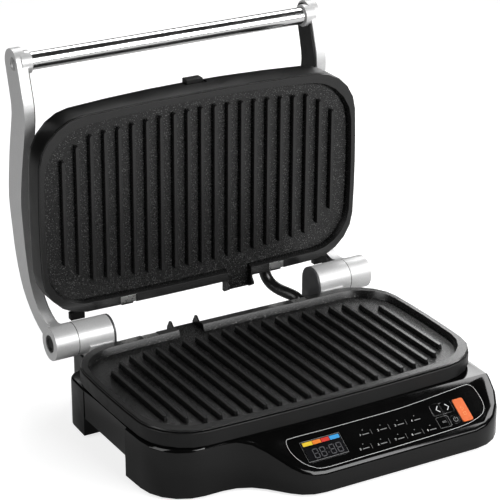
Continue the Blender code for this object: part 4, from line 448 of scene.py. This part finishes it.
def faded(material, value, mask, share):
    """A value times one minus a share of a mask."""
    fade = material.node_tree.nodes.new("ShaderNodeMapRange")
    fade.inputs["To Min"].default_value = 1.0
    fade.inputs["To Max"].default_value = 1.0 - share
    product = material.node_tree.nodes.new("ShaderNodeMath")
    product.operation = "MULTIPLY"
    links = material.node_tree.links
    links.new(mask, fade.inputs["Value"])
    links.new(value, product.inputs[0])
    links.new(fade.outputs["Result"], product.inputs[1])
    return product.outputs["Value"]


def marked(material, attribute):
    """Value that mark_polish leaves in an attribute of the mesh."""
    mark = material.node_tree.nodes.new("ShaderNodeAttribute")
    mark.attribute_name = attribute
    return mark.outputs["Fac"]


def non_stick():
    """Dark coating with pale mineral flecks and a grain, both rubbed off on rim and rib tops, which also carry a
    painted highlight of a lighter tone.

    Its steep flanks are darkened as painted shade, by a high Metallic over black, which throws back less than the
    coating's own gloss.
    """
    colour = tuple(colours().coating)
    material = new_material("non_stick_casting", colour, COATING_ROUGHNESS)
    wear_highlight_mask = marked(material, "polish")
    # Painted shade: a high Metallic over black darkens the steep flanks
    soot = marked(material, "soot")
    shade_metallic = material.node_tree.nodes.new("ShaderNodeMath")
    shade_metallic.operation = "MULTIPLY"
    shade_metallic.inputs[1].default_value = PAINTED_SHADE_METALLIC
    flecks = add_effect(material, speckles_group(), Scale=FLECKS_PER_METRE, Size=FLECK_SIZE)
    floor = vary_colour(material, faded(material, flecks, wear_highlight_mask, WORN_FLECKS), colour, FLECK_COLOUR)
    # Painted highlight: rim and rib tops get a lighter tone of the coating, beside their real wear
    tone = material.node_tree.nodes.new("ShaderNodeMix")
    tone.data_type = "RGBA"
    tone.inputs["B"].default_value = (*scaled(colour, PAINTED_HIGHLIGHT_TONE), 1.0)
    low, high = GRAIN_ROUGHNESS
    grain = add_effect(material, uneven_group(), Scale=ROUGHNESS_SCALE, Low=low, High=high)
    links = material.node_tree.links
    links.new(soot, shade_metallic.inputs[0])
    links.new(shade_metallic.outputs["Value"], shader_of(material).inputs["Metallic"])
    links.new(wear_highlight_mask, tone.inputs["Factor"])
    links.new(floor.outputs["Result"], tone.inputs["A"])
    links.new(tone.outputs["Result"], shader_of(material).inputs["Base Color"])
    links.new(faded(material, grain, wear_highlight_mask, WORN_ROUGHNESS), shader_of(material).inputs["Roughness"])
    peel = add_effect(material, uneven_group(), Scale=RELIEF_SCALE, Detail=1.0)
    raise_relief(material, faded(material, peel, wear_highlight_mask, WORN_RELIEF), RELIEF_DEPTH)
    return material


def circuit_board():
    """Green solder mask over copper tracks."""
    material = new_material("circuit_board", (0.01, 0.10, 0.04), 0.35)
    tracks = material.node_tree.nodes.new("ShaderNodeTexBrick")
    settings = {
        "Color1": (0.008, 0.085, 0.035, 1.0),
        "Color2": (0.010, 0.100, 0.042, 1.0),
        "Mortar": (0.020, 0.180, 0.080, 1.0),
        "Scale": 90.0,
        "Mortar Size": 0.05,
    }
    for label, value in settings.items():
        tracks.inputs[label].default_value = value
    places = material.node_tree.nodes.new("ShaderNodeTexCoord")
    links = material.node_tree.links
    links.new(places.outputs["Object"], tracks.inputs["Vector"])
    links.new(tracks.outputs["Color"], shader_of(material).inputs["Base Color"])
    vary_roughness(material, 200.0, 0.28, 0.42)
    raise_relief(material, tracks.outputs["Fac"], 0.05 * MM)
    return material


MADE_APART = {"non_stick_casting": non_stick, "circuit_board": circuit_board}
BUILT = {}


def finish(name):
    """The material of that name, made the first time that it is asked for."""
    if name not in BUILT:
        if name in MADE_APART:
            BUILT[name] = MADE_APART[name]()
        elif name in PRINT_COLOURS:
            BUILT[name] = mottled(name, PRINT_COLOURS[name], **COLOURED_PRINT)
        else:
            BUILT[name] = mottled(name, **RECIPES[name])
    return BUILT[name]


# Pieces


def select_only(piece):
    bpy.ops.object.select_all(action="DESELECT")
    piece.select_set(True)
    bpy.context.view_layer.objects.active = piece


def link_piece(name, mesh):
    piece = bpy.data.objects.new(name, mesh)
    bpy.context.scene.collection.objects.link(piece)
    select_only(piece)
    return piece


def dress(piece, slot, body, look=None):
    """Material and body of a piece, from its look or else its slot; prints have a material of their own."""
    piece.data.materials.clear()
    piece.data.materials.append(finish(look or slot))
    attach(piece, body)


def packed_slot(node):
    """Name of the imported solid's own material slot."""
    return NODES[node].data.materials[0].name.split(".")[0]


def rounded_copy(node, edge, segments=2, look=None, level=True):
    """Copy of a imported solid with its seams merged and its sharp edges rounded.

    Level keeps the shading of its flat faces flat, which a piece with long curved faces is better without.
    """
    slot = packed_slot(node)
    piece = link_piece(f"{node}_finished", NODES[node].data.copy())
    bpy.ops.object.mode_set(mode="EDIT")
    bpy.ops.mesh.select_all(action="SELECT")
    bpy.ops.mesh.customdata_custom_splitnormals_clear()
    bpy.ops.mesh.remove_doubles(threshold=SAME_POINT)
    bpy.ops.mesh.dissolve_limited(angle_limit=SAME_PLANE)
    bpy.ops.mesh.normals_make_consistent(inside=False)
    bpy.ops.object.mode_set(mode="OBJECT")
    bevel = piece.modifiers.new("rounded edges", "BEVEL")
    bevel.width = edge
    bevel.segments = segments
    bevel.limit_method = "ANGLE"
    bevel.angle_limit = BEVEL_ANGLE
    bevel.use_clamp_overlap = True
    bpy.ops.object.modifier_apply(modifier=bevel.name)
    bpy.ops.object.shade_smooth_by_angle(angle=SMOOTH_ANGLE)
    if level:
        flat_faces = piece.modifiers.new("flat faces", "WEIGHTED_NORMAL")
        flat_faces.keep_sharp = True
        bpy.ops.object.modifier_apply(modifier=flat_faces.name)
    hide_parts(node)
    dress(piece, slot, BODY_OF[node], look)
    return piece


def round_all(nodes, edge, segments=2):
    for node in nodes:
        rounded_copy(node, edge, segments)


def carry_over(node):
    """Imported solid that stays, with its finished material."""
    NODES[node].data.materials[0] = finish(packed_slot(node))


def sides(*stems):
    return [f"{stem}_{side}" for stem in stems for side in ("left", "right")]


class GRILL_OT_body(bpy.types.Operator):
    """Finish the body, its cover, feet and drip tray"""

    bl_idname = "grill.body"
    bl_label = "Body"

    def execute(self, context):
        rounded_copy("base_shell", sizes().body_edge, segments=3, level=False)
        round_all(["lower_plate_ring", "bottom_cover", "drip_tray", "lower_plate_latch"], sizes().small_edge)
        round_all(sides("foot_rear", "foot_front"), sizes().small_edge)
        round_all(["cord_inlet_gland", "base_conduit_gland"], sizes().small_edge)
        return {"FINISHED"}


def mark_polish(piece, rim, inward, limits):
    """Attributes for the coating: one is 1 on the rim and rib tops of a plate, which carry real wear and a painted
    highlight, and the other is painted shade that grows with the steepness of its flanks.
    """
    polish = piece.data.attributes.new("polish", "FLOAT", "POINT")
    soot = piece.data.attributes.new("soot", "FLOAT", "POINT")
    along = 2 if abs(inward.y) > abs(inward.z) else 1
    for vertex, value in zip(piece.data.vertices, polish.data):
        place = vertex.co - HINGE
        depth = (place - rim).dot(inward)
        among_ribs = abs(place.x) < RIB_REACH and limits[0] < place[along] < limits[1]
        on_top = among_ribs and RIB_TOP_DEPTHS[0] < depth < RIB_TOP_DEPTHS[1]
        # Rim and rib tops carry real wear and a painted highlight
        value.value = 1.0 if on_top or depth < RIM_DEPTH else 0.0
        # Painted shade on the flanks below the rim, apart from the rib tops, growing with their steepness
        steepness = 1.0 + vertex.normal.dot(inward)
        in_painted_shade = depth > RIM_DEPTH and not on_top
        soot.data[vertex.index].value = min(1.0, PAINTED_SHADE_GROWTH * steepness) if in_painted_shade else 0.0


class GRILL_OT_plates(bpy.types.Operator):
    """Finish the two ribbed plates and their keepers"""

    bl_idname = "grill.plates"
    bl_label = "Plates"

    def execute(self, context):
        for node in ("lower_plate", "upper_plate"):
            mark_polish(rounded_copy(node, sizes().plate_edge, segments=3), *RIM_PLANES[node])
        round_all(sides("lower_plate_keeper", "upper_plate_keeper"), sizes().small_edge)
        return {"FINISHED"}


class GRILL_OT_head(bpy.types.Operator):
    """Finish the head's housing and latch"""

    bl_idname = "grill.head"
    bl_label = "Head"

    def execute(self, context):
        rounded_copy("head_housing", sizes().head_edge, segments=3, look="head_black_plastic")
        round_all(["upper_plate_latch", "head_conduit_gland"], sizes().small_edge)
        return {"FINISHED"}


def ring_mesh(name, near, far, radii, around):
    """Flat-sided ring about the hinge axis, between two places along it."""
    profile = ((near, radii[0]), (near, radii[1]), (far, radii[1]), (far, radii[0]))
    points, faces = [], []
    for step in range(around):
        turn = 2 * pi * step / around
        points += [HINGE + Vector((x, radius * cos(turn), radius * sin(turn))) for x, radius in profile]
    for step in range(around):
        a, b = 4 * step, 4 * ((step + 1) % around)
        for edge in range(4):
            following = (edge + 1) % 4
            faces.append((a + edge, a + following, b + following, b + edge))
    if far > near:
        faces = [face[::-1] for face in faces]
    mesh = bpy.data.meshes.new(name)
    mesh.from_pydata(points, [], faces)
    return mesh


class GRILL_OT_lid_frame(bpy.types.Operator):
    """Finish the arms, the handle tube and the hinge"""

    bl_idname = "grill.lid_frame"
    bl_label = "Lid frame"

    def execute(self, context):
        round_all(sides("arm"), sizes().metal_edge, segments=3)
        round_all(sides("arm_inner_cover", "knuckle_cap", "hinge_end_cap", "hinge_post"), sizes().small_edge)
        round_all(["handle_tube"] + sides("handle_plug", "handle_screw"), sizes().small_edge)
        round_all(sides("pivot_pin", "pivot_bush"), sizes().small_edge)
        for name, sign in (("seam_left", -1), ("seam_right", 1)):
            piece = link_piece(name, ring_mesh(name, sign * SEAM_NEAR, sign * SEAM_FAR, SEAM_RADII, SEAM_SIDES))
            bpy.ops.object.shade_smooth_by_angle(angle=SMOOTH_ANGLE)
            dress(piece, "satin_black_plastic", "base")
        return {"FINISHED"}


def tube_mesh(name, path, radius, around):
    """Round tube along a path of close points, closed at both ends."""
    points, faces = [], []
    last = len(path) - 1
    reference = Vector((1, 0, 0))
    for index, point in enumerate(path):
        ahead = (path[min(index + 1, last)] - path[max(index - 1, 0)]).normalized()
        first = (reference - ahead * reference.dot(ahead)).normalized()
        second = ahead.cross(first)
        for step in range(around):
            turn = 2 * pi * step / around
            points.append(point + radius * (cos(turn) * first + sin(turn) * second))
    for ring in range(last):
        for step in range(around):
            a = ring * around + step
            b = ring * around + (step + 1) % around
            faces.append((a, b, b + around, a + around))
    faces.append(tuple(reversed(range(around))))
    faces.append(tuple(range(last * around, (last + 1) * around)))
    mesh = bpy.data.meshes.new(name)
    mesh.from_pydata(points, [], faces)
    return mesh


def bezier(points, steps):
    """Places along the curve between the first and the last of four points."""
    a, b, c, d = points
    curve = []
    for step in range(steps + 1):
        t = step / steps
        s = 1 - t
        curve.append(s ** 3 * a + 3 * s * s * t * b + 3 * s * t * t * c + t ** 3 * d)
    return curve


def ring_lean(along, tangent, radius):
    """How far a ring of the sleeve reaches along the line between its ends."""
    return radius * (1.0 - min(1.0, abs(along.dot(tangent.normalized()))) ** 2) ** 0.5


def end_of_path(path, radius):
    """First end of the path, and the last drawn back by how far the last ring reaches along the line between the ends.
    """
    along = (path[-1] - path[0]).normalized()
    return path[0], path[-1] - ring_lean(along, path[-1] - path[-2], radius) * along


def start_of_path(path, radius):
    """First end of the path moved on by how far the first ring reaches along the line between the ends, and the last
    end.
    """
    along = (path[-1] - path[0]).normalized()
    return path[0] + ring_lean(along, path[1] - path[0], radius) * along, path[-1]


class GRILL_OT_conduit(bpy.types.Operator):
    """Run the sleeve of the head's wires from the body to the head"""

    bl_idname = "grill.conduit"
    bl_label = "Conduit"

    radius: length_setting("Radius", "Radius of the sleeve", 5.7 * MM)
    lead: length_setting("Lead", "Straight length at each end", 2.0 * MM)
    rise: length_setting("Rise", "Pull of the lower end", 10.7 * MM)
    sag: length_setting("Sag", "Pull of the upper end", 35.0 * MM)

    def execute(self, context):
        low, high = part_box("conduit")
        base_low, base_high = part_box("base_conduit_gland")
        head_low, head_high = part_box("head_conduit_gland")
        start = Vector(((base_low[0] + base_high[0]) / 2, (base_low[1] + base_high[1]) / 2, low[2]))
        end = Vector(((head_low[0] + head_high[0]) / 2, (head_low[1] + head_high[1]) / 2, high[2]))
        up = Vector((0, 0, 1))
        guides = (
            start + self.lead * up,
            start + (self.lead + self.rise) * up,
            end - self.sag * up,
            end - self.lead * up,
        )
        path = [start] + bezier(guides, SLEEVE_STEPS) + [end]
        turn = int(LOWER_SHARE * len(path))
        self.add_sleeve("conduit_lower", path[: turn + 1], "base", "lid_frame", still=end_of_path)
        self.add_sleeve("conduit_upper", path[turn:], "lid_frame", "head", still=start_of_path)
        return {"FINISHED"}

    def add_sleeve(self, name, path, first, second, still):
        """Length of sleeve along its share of the path, with its material."""
        piece = link_piece(name, tube_mesh(name, path, self.radius, SLEEVE_SIDES))
        bpy.ops.object.shade_smooth_by_angle(angle=SMOOTH_ANGLE)
        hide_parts("conduit")
        start, end = still(path, self.radius)
        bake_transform(piece)
        piece.data.materials.append(finish("conduit_sleeve"))


# Control panel


def panel_point(x, y, out):
    """Place over the slope, from hinge coordinates of the slope's own plane."""
    down = (PANEL_TOP - y) / cos(PANEL_SLOPE)
    level = PANEL_TOP_LEVEL - down * sin(PANEL_SLOPE) + out * cos(PANEL_SLOPE)
    return HINGE + Vector((x, y - out * sin(PANEL_SLOPE), level))


def print_piece(name, flat_faces, material, body, out=PRINT_LIFT):
    """Thin print over the panel: each face is a ring of panel places in millimetres."""
    points, faces = [], []
    for ring in flat_faces:
        first = len(points)
        points += [panel_point(x * MM, y * MM, out) for x, y in ring]
        faces.append(tuple(range(first, first + len(ring))))
    mesh = bpy.data.meshes.new(name)
    mesh.from_pydata(points, [], faces)
    piece = link_piece(name, mesh)
    bpy.ops.object.mode_set(mode="EDIT")
    bpy.ops.mesh.select_all(action="SELECT")
    bpy.ops.mesh.remove_doubles(threshold=SAME_POINT)
    bpy.ops.mesh.normals_make_consistent(inside=False)
    bpy.ops.object.mode_set(mode="OBJECT")
    if sum(face.normal.z * face.area for face in mesh.polygons) < 0:
        mesh.flip_normals()
    solidify = piece.modifiers.new("thickness", "SOLIDIFY")
    solidify.thickness = PRINT_THICKNESS
    solidify.offset = 1
    bpy.ops.object.modifier_apply(modifier=solidify.name)
    dress(piece, material, body)


def band(line, width, closed=False):
    """Quads of a line of even width through panel places."""
    count = len(line)
    borders = []
    for index in range(count):
        before = line[index - 1] if closed or index else line[index]
        after = line[(index + 1) % count] if closed or index < count - 1 else line[index]
        run = Vector((after[0] - before[0], after[1] - before[1])).normalized()
        across = Vector((-run.y, run.x)) * width / 2
        here = Vector(line[index])
        borders.append((here + across, here - across))
    pairs = list(zip(borders, borders[1:]))
    if closed:
        pairs.append((borders[-1], borders[0]))
    return [(a[0], a[1], b[1], b[0]) for a, b in pairs]


def smooth_line(points, steps=6):
    """Closed smooth line through the given places."""
    line = []
    count = len(points)
    for index in range(count):
        a, b, c, d = (Vector(points[(index + k) % count]) for k in (-1, 0, 1, 2))
        for step in range(steps):
            t = step / steps
            line.append(
                0.5 * (2 * b + (c - a) * t + (2 * a - 5 * b + 4 * c - d) * t * t + (3 * b - a - 3 * c + d) * t ** 3)
            )
    return line


def round_places(x, y, radius, turns):
    """Places that look round on the slope."""
    return [(x + radius * cos(turn), y + radius * cos(PANEL_SLOPE) * sin(turn)) for turn in turns]


def disc(x, y, radius, steps=12):
    return round_places(x, y, radius, [2 * pi * step / steps for step in range(steps)])


def arc(x, y, radius, start, end, steps=14):
    return round_places(x, y, radius, [start + (end - start) * step / steps for step in range(steps + 1)])


def rectangle(left, right, low, high, x=0.0, y=0.0):
    """Corners of a rectangle, given from the place x, y."""
    return [(x + left, y + low), (x + right, y + low), (x + right, y + high), (x + left, y + high)]


def rounded_frame(left, right, low, high, corner, steps=4):
    line = []
    corners = (
        (right - corner, high - corner, 0),
        (left + corner, high - corner, 1),
        (left + corner, low + corner, 2),
        (right - corner, low + corner, 3),
    )
    for x, y, quarter in corners:
        for step in range(steps + 1):
            turn = (quarter + step / steps) * pi / 2
            line.append((x + corner * cos(turn), y + corner * sin(turn)))
    return line


# Prints, in millimetres of hinge coordinates. Rectangles and frames are left, right, low and high.
SEGMENT_SHARES = (
    (0.18, 0.00, 0.82, 0.10),
    (0.18, 0.45, 0.82, 0.55),
    (0.18, 0.90, 0.82, 1.00),
    (0.00, 0.06, 0.16, 0.46),
    (0.84, 0.06, 1.00, 0.46),
    (0.00, 0.54, 0.16, 0.94),
    (0.84, 0.54, 1.00, 0.94),
)
PANEL_OUTLINE = (
    (-31.2, -256.2), (6.0, -256.0), (43.0, -255.6), (80.0, -255.0), (111.2, -254.1), (126.0, -252.3), (137.8, -249.0),
    (143.6, -243.6), (145.1, -237.1), (144.8, -230.5), (143.5, -225.3), (139.1, -222.2), (128.0, -222.6),
    (96.0, -224.8), (61.4, -226.6), (25.0, -226.9), (-12.0, -227.0), (-47.4, -226.8), (-54.2, -228.4), (-55.0, -237.1),
    (-50.3, -246.5), (-42.4, -252.9),
)
TABS = (
    ("yellow_tab", -41.5, -31.9),
    ("orange_tab", -31.5, -23.2),
    ("red_tab", -22.8, -14.7),
    ("blue_tab", -14.2, -4.6),
)
TAB_ROW = (-236.2, -233.0)
DISPLAY_FRAME = (-43.4, -3.2, -249.0, -232.2)
DIGIT_LEFTS = (-35.6, -28.6, -19.0, -12.0)
DIGIT_LOW = -247.6
DIGIT_WIDTH = 5.4
DIGIT_HEIGHT = 8.2
COLON_DOTS = ((-21.2, -241.8, 0.5), (-21.2, -245.2, 0.5))

# Rows of numbered marks: their height and the places in them, then what stands round each place
LABEL_ROWS = (
    (-239.0, (19.0, 37.5, 55.5, 73.0)),
    (-250.0, (12.5, 31.0, 49.0, 66.5, 83.0)),
)
LABEL_NUMBER_LEFT = 4.2
LABEL_NUMBER_HEIGHT = 3.0
LABEL_DASH = (-2.0, 4.6, -0.45, 0.15)
LABEL_DOT_RISE = 3.6
LABEL_DOT_RADIUS = 0.45
LABEL_DIVIDER = (7.2, 7.45, -1.8, 2.6)

# Marks on and round the keys
PREVIOUS_ARROW = ((99.4, -233.2), (96.6, -235.8), (99.4, -238.4))
NEXT_ARROW = ((107.2, -233.2), (110.0, -235.8), (107.2, -238.4))
ARROW_STROKE = 0.75
KEY_FRAMES = ((91.6, 113.4, -240.6, -231.2), (91.8, 104.2, -251.6, -242.2))
KEY_FRAME_CORNER = 1.6
UNIT_PLACE = (98.0, -247.0)
UNIT_HEIGHT = 3.2
POWER_RING = (110.0, -247.5, 2.2, radians(125), radians(415))
POWER_STROKE = 0.45
POWER_BAR = (109.8, 110.2, -247.6, -244.9)
START_TRIANGLE = ((120.6, -238.6), (123.6, -240.3), (120.6, -242.0))
STOP_SQUARE = (120.6, 123.2, -245.8, -243.6)


def print_number(name, text, x, y, height, body, out=PRINT_LIFT, ink="printed_white"):
    """Plain number over the panel, centred on a place in millimetres."""
    bpy.ops.object.select_all(action="DESELECT")
    bpy.ops.object.text_add()
    piece = bpy.context.object
    piece.name = name
    piece.data.body = text
    piece.data.size = height * MM
    piece.data.align_x = "CENTER"
    piece.data.align_y = "CENTER"
    piece.data.extrude = PRINT_THICKNESS / 2
    bpy.ops.object.convert(target="MESH")
    across = Vector((1, 0, 0))
    up = Vector((0, cos(PANEL_SLOPE), sin(PANEL_SLOPE)))
    place = Matrix.Translation(panel_point(x * MM, y * MM, out + PRINT_THICKNESS / 2))
    turn = Matrix((across, up, across.cross(up))).transposed().to_4x4()
    piece.data.transform(place @ turn)
    dress(piece, ink, body)


class GRILL_OT_panel(bpy.types.Operator):
    """Finish the control panel, its keys, display and prints"""

    bl_idname = "grill.panel"
    bl_label = "Control panel"

    def execute(self, context):
        keys = ["start_key", "previous_key", "next_key", "unit_key", "power_key"]
        round_all(["control_fascia", "display_window"] + keys, sizes().small_edge)
        outline = band(smooth_line(PANEL_OUTLINE), sizes().outline / MM, closed=True)
        print_piece("panel_outline", outline, "printed_white", "base")
        for name, left, right in TABS:
            print_piece(name, [rectangle(left, right, *TAB_ROW)], name, "base")
        self.print_digits()
        self.print_labels()
        self.print_keys()
        return {"FINISHED"}

    def print_digits(self):
        stroke = sizes().stroke / MM
        frame = band(rectangle(*DISPLAY_FRAME), stroke, closed=True)
        print_piece("display_frame", frame, "printed_grey", "base")
        faces = []
        for digit_left in DIGIT_LEFTS:
            for x0, y0, x1, y1 in SEGMENT_SHARES:
                left, right = digit_left + DIGIT_WIDTH * x0, digit_left + DIGIT_WIDTH * x1
                low, high = DIGIT_LOW + DIGIT_HEIGHT * y0, DIGIT_LOW + DIGIT_HEIGHT * y1
                faces.append(rectangle(left, right, low, high))
        faces += [disc(*dot) for dot in COLON_DOTS]
        print_piece("display_digits", faces, "dim_digit", "base")

    def print_labels(self):
        number = 0
        marks = []
        for y, places in LABEL_ROWS:
            for x in places:
                number += 1
                print_number(f"label_{number}", str(number), x - LABEL_NUMBER_LEFT, y, LABEL_NUMBER_HEIGHT, "base")
                marks.append(rectangle(*LABEL_DASH, x, y))
                marks.append(disc(x, y + LABEL_DOT_RISE, LABEL_DOT_RADIUS))
                if x < places[-1]:
                    marks.append(rectangle(*LABEL_DIVIDER, x, y))
        print_piece("label_marks", marks, "printed_grey", "base")

    def print_keys(self):
        out = KEY_PROUD + PRINT_LIFT
        stroke = sizes().stroke / MM
        print_piece("previous_mark", band(PREVIOUS_ARROW, ARROW_STROKE), "printed_white", "previous_key", out)
        print_piece("next_mark", band(NEXT_ARROW, ARROW_STROKE), "printed_white", "next_key", out)
        frames = []
        for frame in KEY_FRAMES:
            frames += band(rounded_frame(*frame, KEY_FRAME_CORNER), stroke, closed=True)
        print_piece("key_frames", frames, "printed_grey", "base")
        print_number("unit_mark", "0:0", *UNIT_PLACE, UNIT_HEIGHT, "unit_key", out, "printed_grey")
        ring = band(arc(*POWER_RING), POWER_STROKE) + [rectangle(*POWER_BAR)]
        print_piece("power_mark", ring, "printed_grey", "power_key", out)
        marks = band(START_TRIANGLE, stroke, closed=True)
        marks += band(rectangle(*STOP_SQUARE), stroke, closed=True)
        print_piece("start_mark", marks, "pale_orange", "start_key", out)


INNER_STEMS = ("heating_element", "reflector", "thermostat")


class GRILL_OT_inner(bpy.types.Operator):
    """Give the hidden pieces their finished materials"""

    bl_idname = "grill.inner"
    bl_label = "Inner pieces"

    def execute(self, context):
        pairs = [f"{level}_{stem}" for stem in INNER_STEMS for level in ("lower", "upper")]
        for node in pairs + ["control_board", "power_board"] + sides("hinge_axle"):
            carry_over(node)
        return {"FINISHED"}


def add_light(name, place, width, height, power):
    """Soft light that faces the middle of the object."""
    light = bpy.data.lights.new(name, "AREA")
    light.shape = "RECTANGLE"
    light.size = width
    light.size_y = height
    light.energy = power
    lamp = bpy.data.objects.new(name, light)
    bpy.context.scene.collection.objects.link(lamp)
    aim = (Vector(LIGHT_TARGET) - Vector(place)).to_track_quat("-Z", "Y").to_matrix().to_4x4()
    lamp.matrix_world = Matrix.Translation(Vector(place)) @ aim


class GRILL_OT_stage(bpy.types.Operator):
    """Set up the floor, the soft lights, the white background and the camera"""

    bl_idname = "grill.stage"
    bl_label = "Stage"

    def execute(self, context):
        self.add_floor()
        self.add_world(context)
        for softbox in SOFTBOXES:
            add_light(*softbox)
        self.add_camera(context)
        context.scene.view_settings.view_transform = "Standard"
        return {"FINISHED"}

    def add_floor(self):
        """Plain pale floor that is close to white to the camera alone."""
        mesh = bpy.data.meshes.new("floor")
        corners = rectangle(-FLOOR_REACH, FLOOR_REACH, -FLOOR_REACH, FLOOR_REACH)
        mesh.from_pydata([(x, y, 0) for x, y in corners], [], [(0, 1, 2, 3)])
        floor = link_piece("floor", mesh)
        material = new_material("pale_floor", (0.50, 0.50, 0.50), 0.8)
        mask = add_effect(material, uneven_group(), Scale=3.0)
        vary_colour(material, mask, *FLOOR_TONES)
        tree = material.node_tree
        white = tree.nodes.new("ShaderNodeEmission")
        rays = tree.nodes.new("ShaderNodeLightPath")
        share = tree.nodes.new("ShaderNodeMath")
        share.operation = "MULTIPLY"
        share.inputs[1].default_value = FLOOR_WHITE
        total = tree.nodes.new("ShaderNodeAddShader")
        tree.links.new(rays.outputs["Is Camera Ray"], share.inputs[0])
        tree.links.new(share.outputs["Value"], white.inputs["Strength"])
        tree.links.new(shader_of(material).outputs["BSDF"], total.inputs[0])
        tree.links.new(white.outputs["Emission"], total.inputs[1])
        tree.links.new(total.outputs["Shader"], tree.nodes["Material Output"].inputs["Surface"])
        mesh.materials.append(material)

    def add_world(self, context):
        """Dim room that is white to the camera alone."""
        world = bpy.data.worlds.new("studio")
        world.use_nodes = True
        nodes, links = world.node_tree.nodes, world.node_tree.links
        room = nodes["Background"]
        room.inputs["Color"].default_value = (ROOM_TONE, ROOM_TONE, ROOM_TONE, 1.0)
        white = nodes.new("ShaderNodeBackground")
        white.inputs["Color"].default_value = (1.0, 1.0, 1.0, 1.0)
        rays = nodes.new("ShaderNodeLightPath")
        pick = nodes.new("ShaderNodeMixShader")
        links.new(rays.outputs["Is Camera Ray"], pick.inputs["Fac"])
        links.new(room.outputs["Background"], pick.inputs[1])
        links.new(white.outputs["Background"], pick.inputs[2])
        links.new(pick.outputs["Shader"], nodes["World Output"].inputs["Surface"])
        context.scene.world = world

    def add_camera(self, context):
        data = bpy.data.cameras.new("camera")
        data.lens = CAMERA_LENS
        data.sensor_width = CAMERA_SENSOR
        data.clip_end = CAMERA_REACH
        camera = bpy.data.objects.new("camera", data)
        context.scene.collection.objects.link(camera)
        yaw, pitch, roll = CAMERA_YAW, CAMERA_PITCH, CAMERA_ROLL
        ahead = Vector((sin(yaw) * cos(pitch), cos(yaw) * cos(pitch), -sin(pitch)))
        level = Vector((cos(yaw), -sin(yaw), 0))
        rise = level.cross(ahead)
        right = cos(roll) * level + sin(roll) * rise
        up = cos(roll) * rise - sin(roll) * level
        turn = Matrix((right, up, -ahead)).transposed().to_4x4()
        camera.matrix_world = Matrix.Translation(HINGE + CAMERA_OFFSET) @ turn
        context.scene.camera = camera


class GRILL_PT_panel(bpy.types.Panel):
    """Buttons, sizes and colours of the grill"""

    bl_idname = "GRILL_PT_panel"
    bl_label = "Electric contact grill"
    bl_space_type = "VIEW_3D"
    bl_region_type = "UI"
    bl_category = "Grill"

    def draw(self, context):
        for operator in OPERATORS:
            self.layout.operator(operator.bl_idname)
        for group in (context.scene.grill_sizes, context.scene.grill_colours):
            box = self.layout.box()
            for key in group.__annotations__:
                box.prop(group, key)


OPERATORS = (
    GRILL_OT_body,
    GRILL_OT_plates,
    GRILL_OT_head,
    GRILL_OT_lid_frame,
    GRILL_OT_conduit,
    GRILL_OT_panel,
    GRILL_OT_inner,
    GRILL_OT_stage,
)
CLASSES = (GrillColours, GrillSizes, *OPERATORS, GRILL_PT_panel)


def register():
    for cls in CLASSES:
        bpy.utils.register_class(cls)
    bpy.types.Scene.grill_colours = bpy.props.PointerProperty(type=GrillColours)
    bpy.types.Scene.grill_sizes = bpy.props.PointerProperty(type=GrillSizes)


def unregister():
    del bpy.types.Scene.grill_sizes
    del bpy.types.Scene.grill_colours
    for cls in reversed(CLASSES):
        bpy.utils.unregister_class(cls)


def main():
    register()
    bpy.ops.grill.body()
    bpy.ops.grill.plates()
    bpy.ops.grill.head()
    bpy.ops.grill.lid_frame()
    bpy.ops.grill.conduit()
    bpy.ops.grill.panel()
    bpy.ops.grill.inner()
    bpy.ops.grill.stage()


if __name__ == "__main__":
    main()
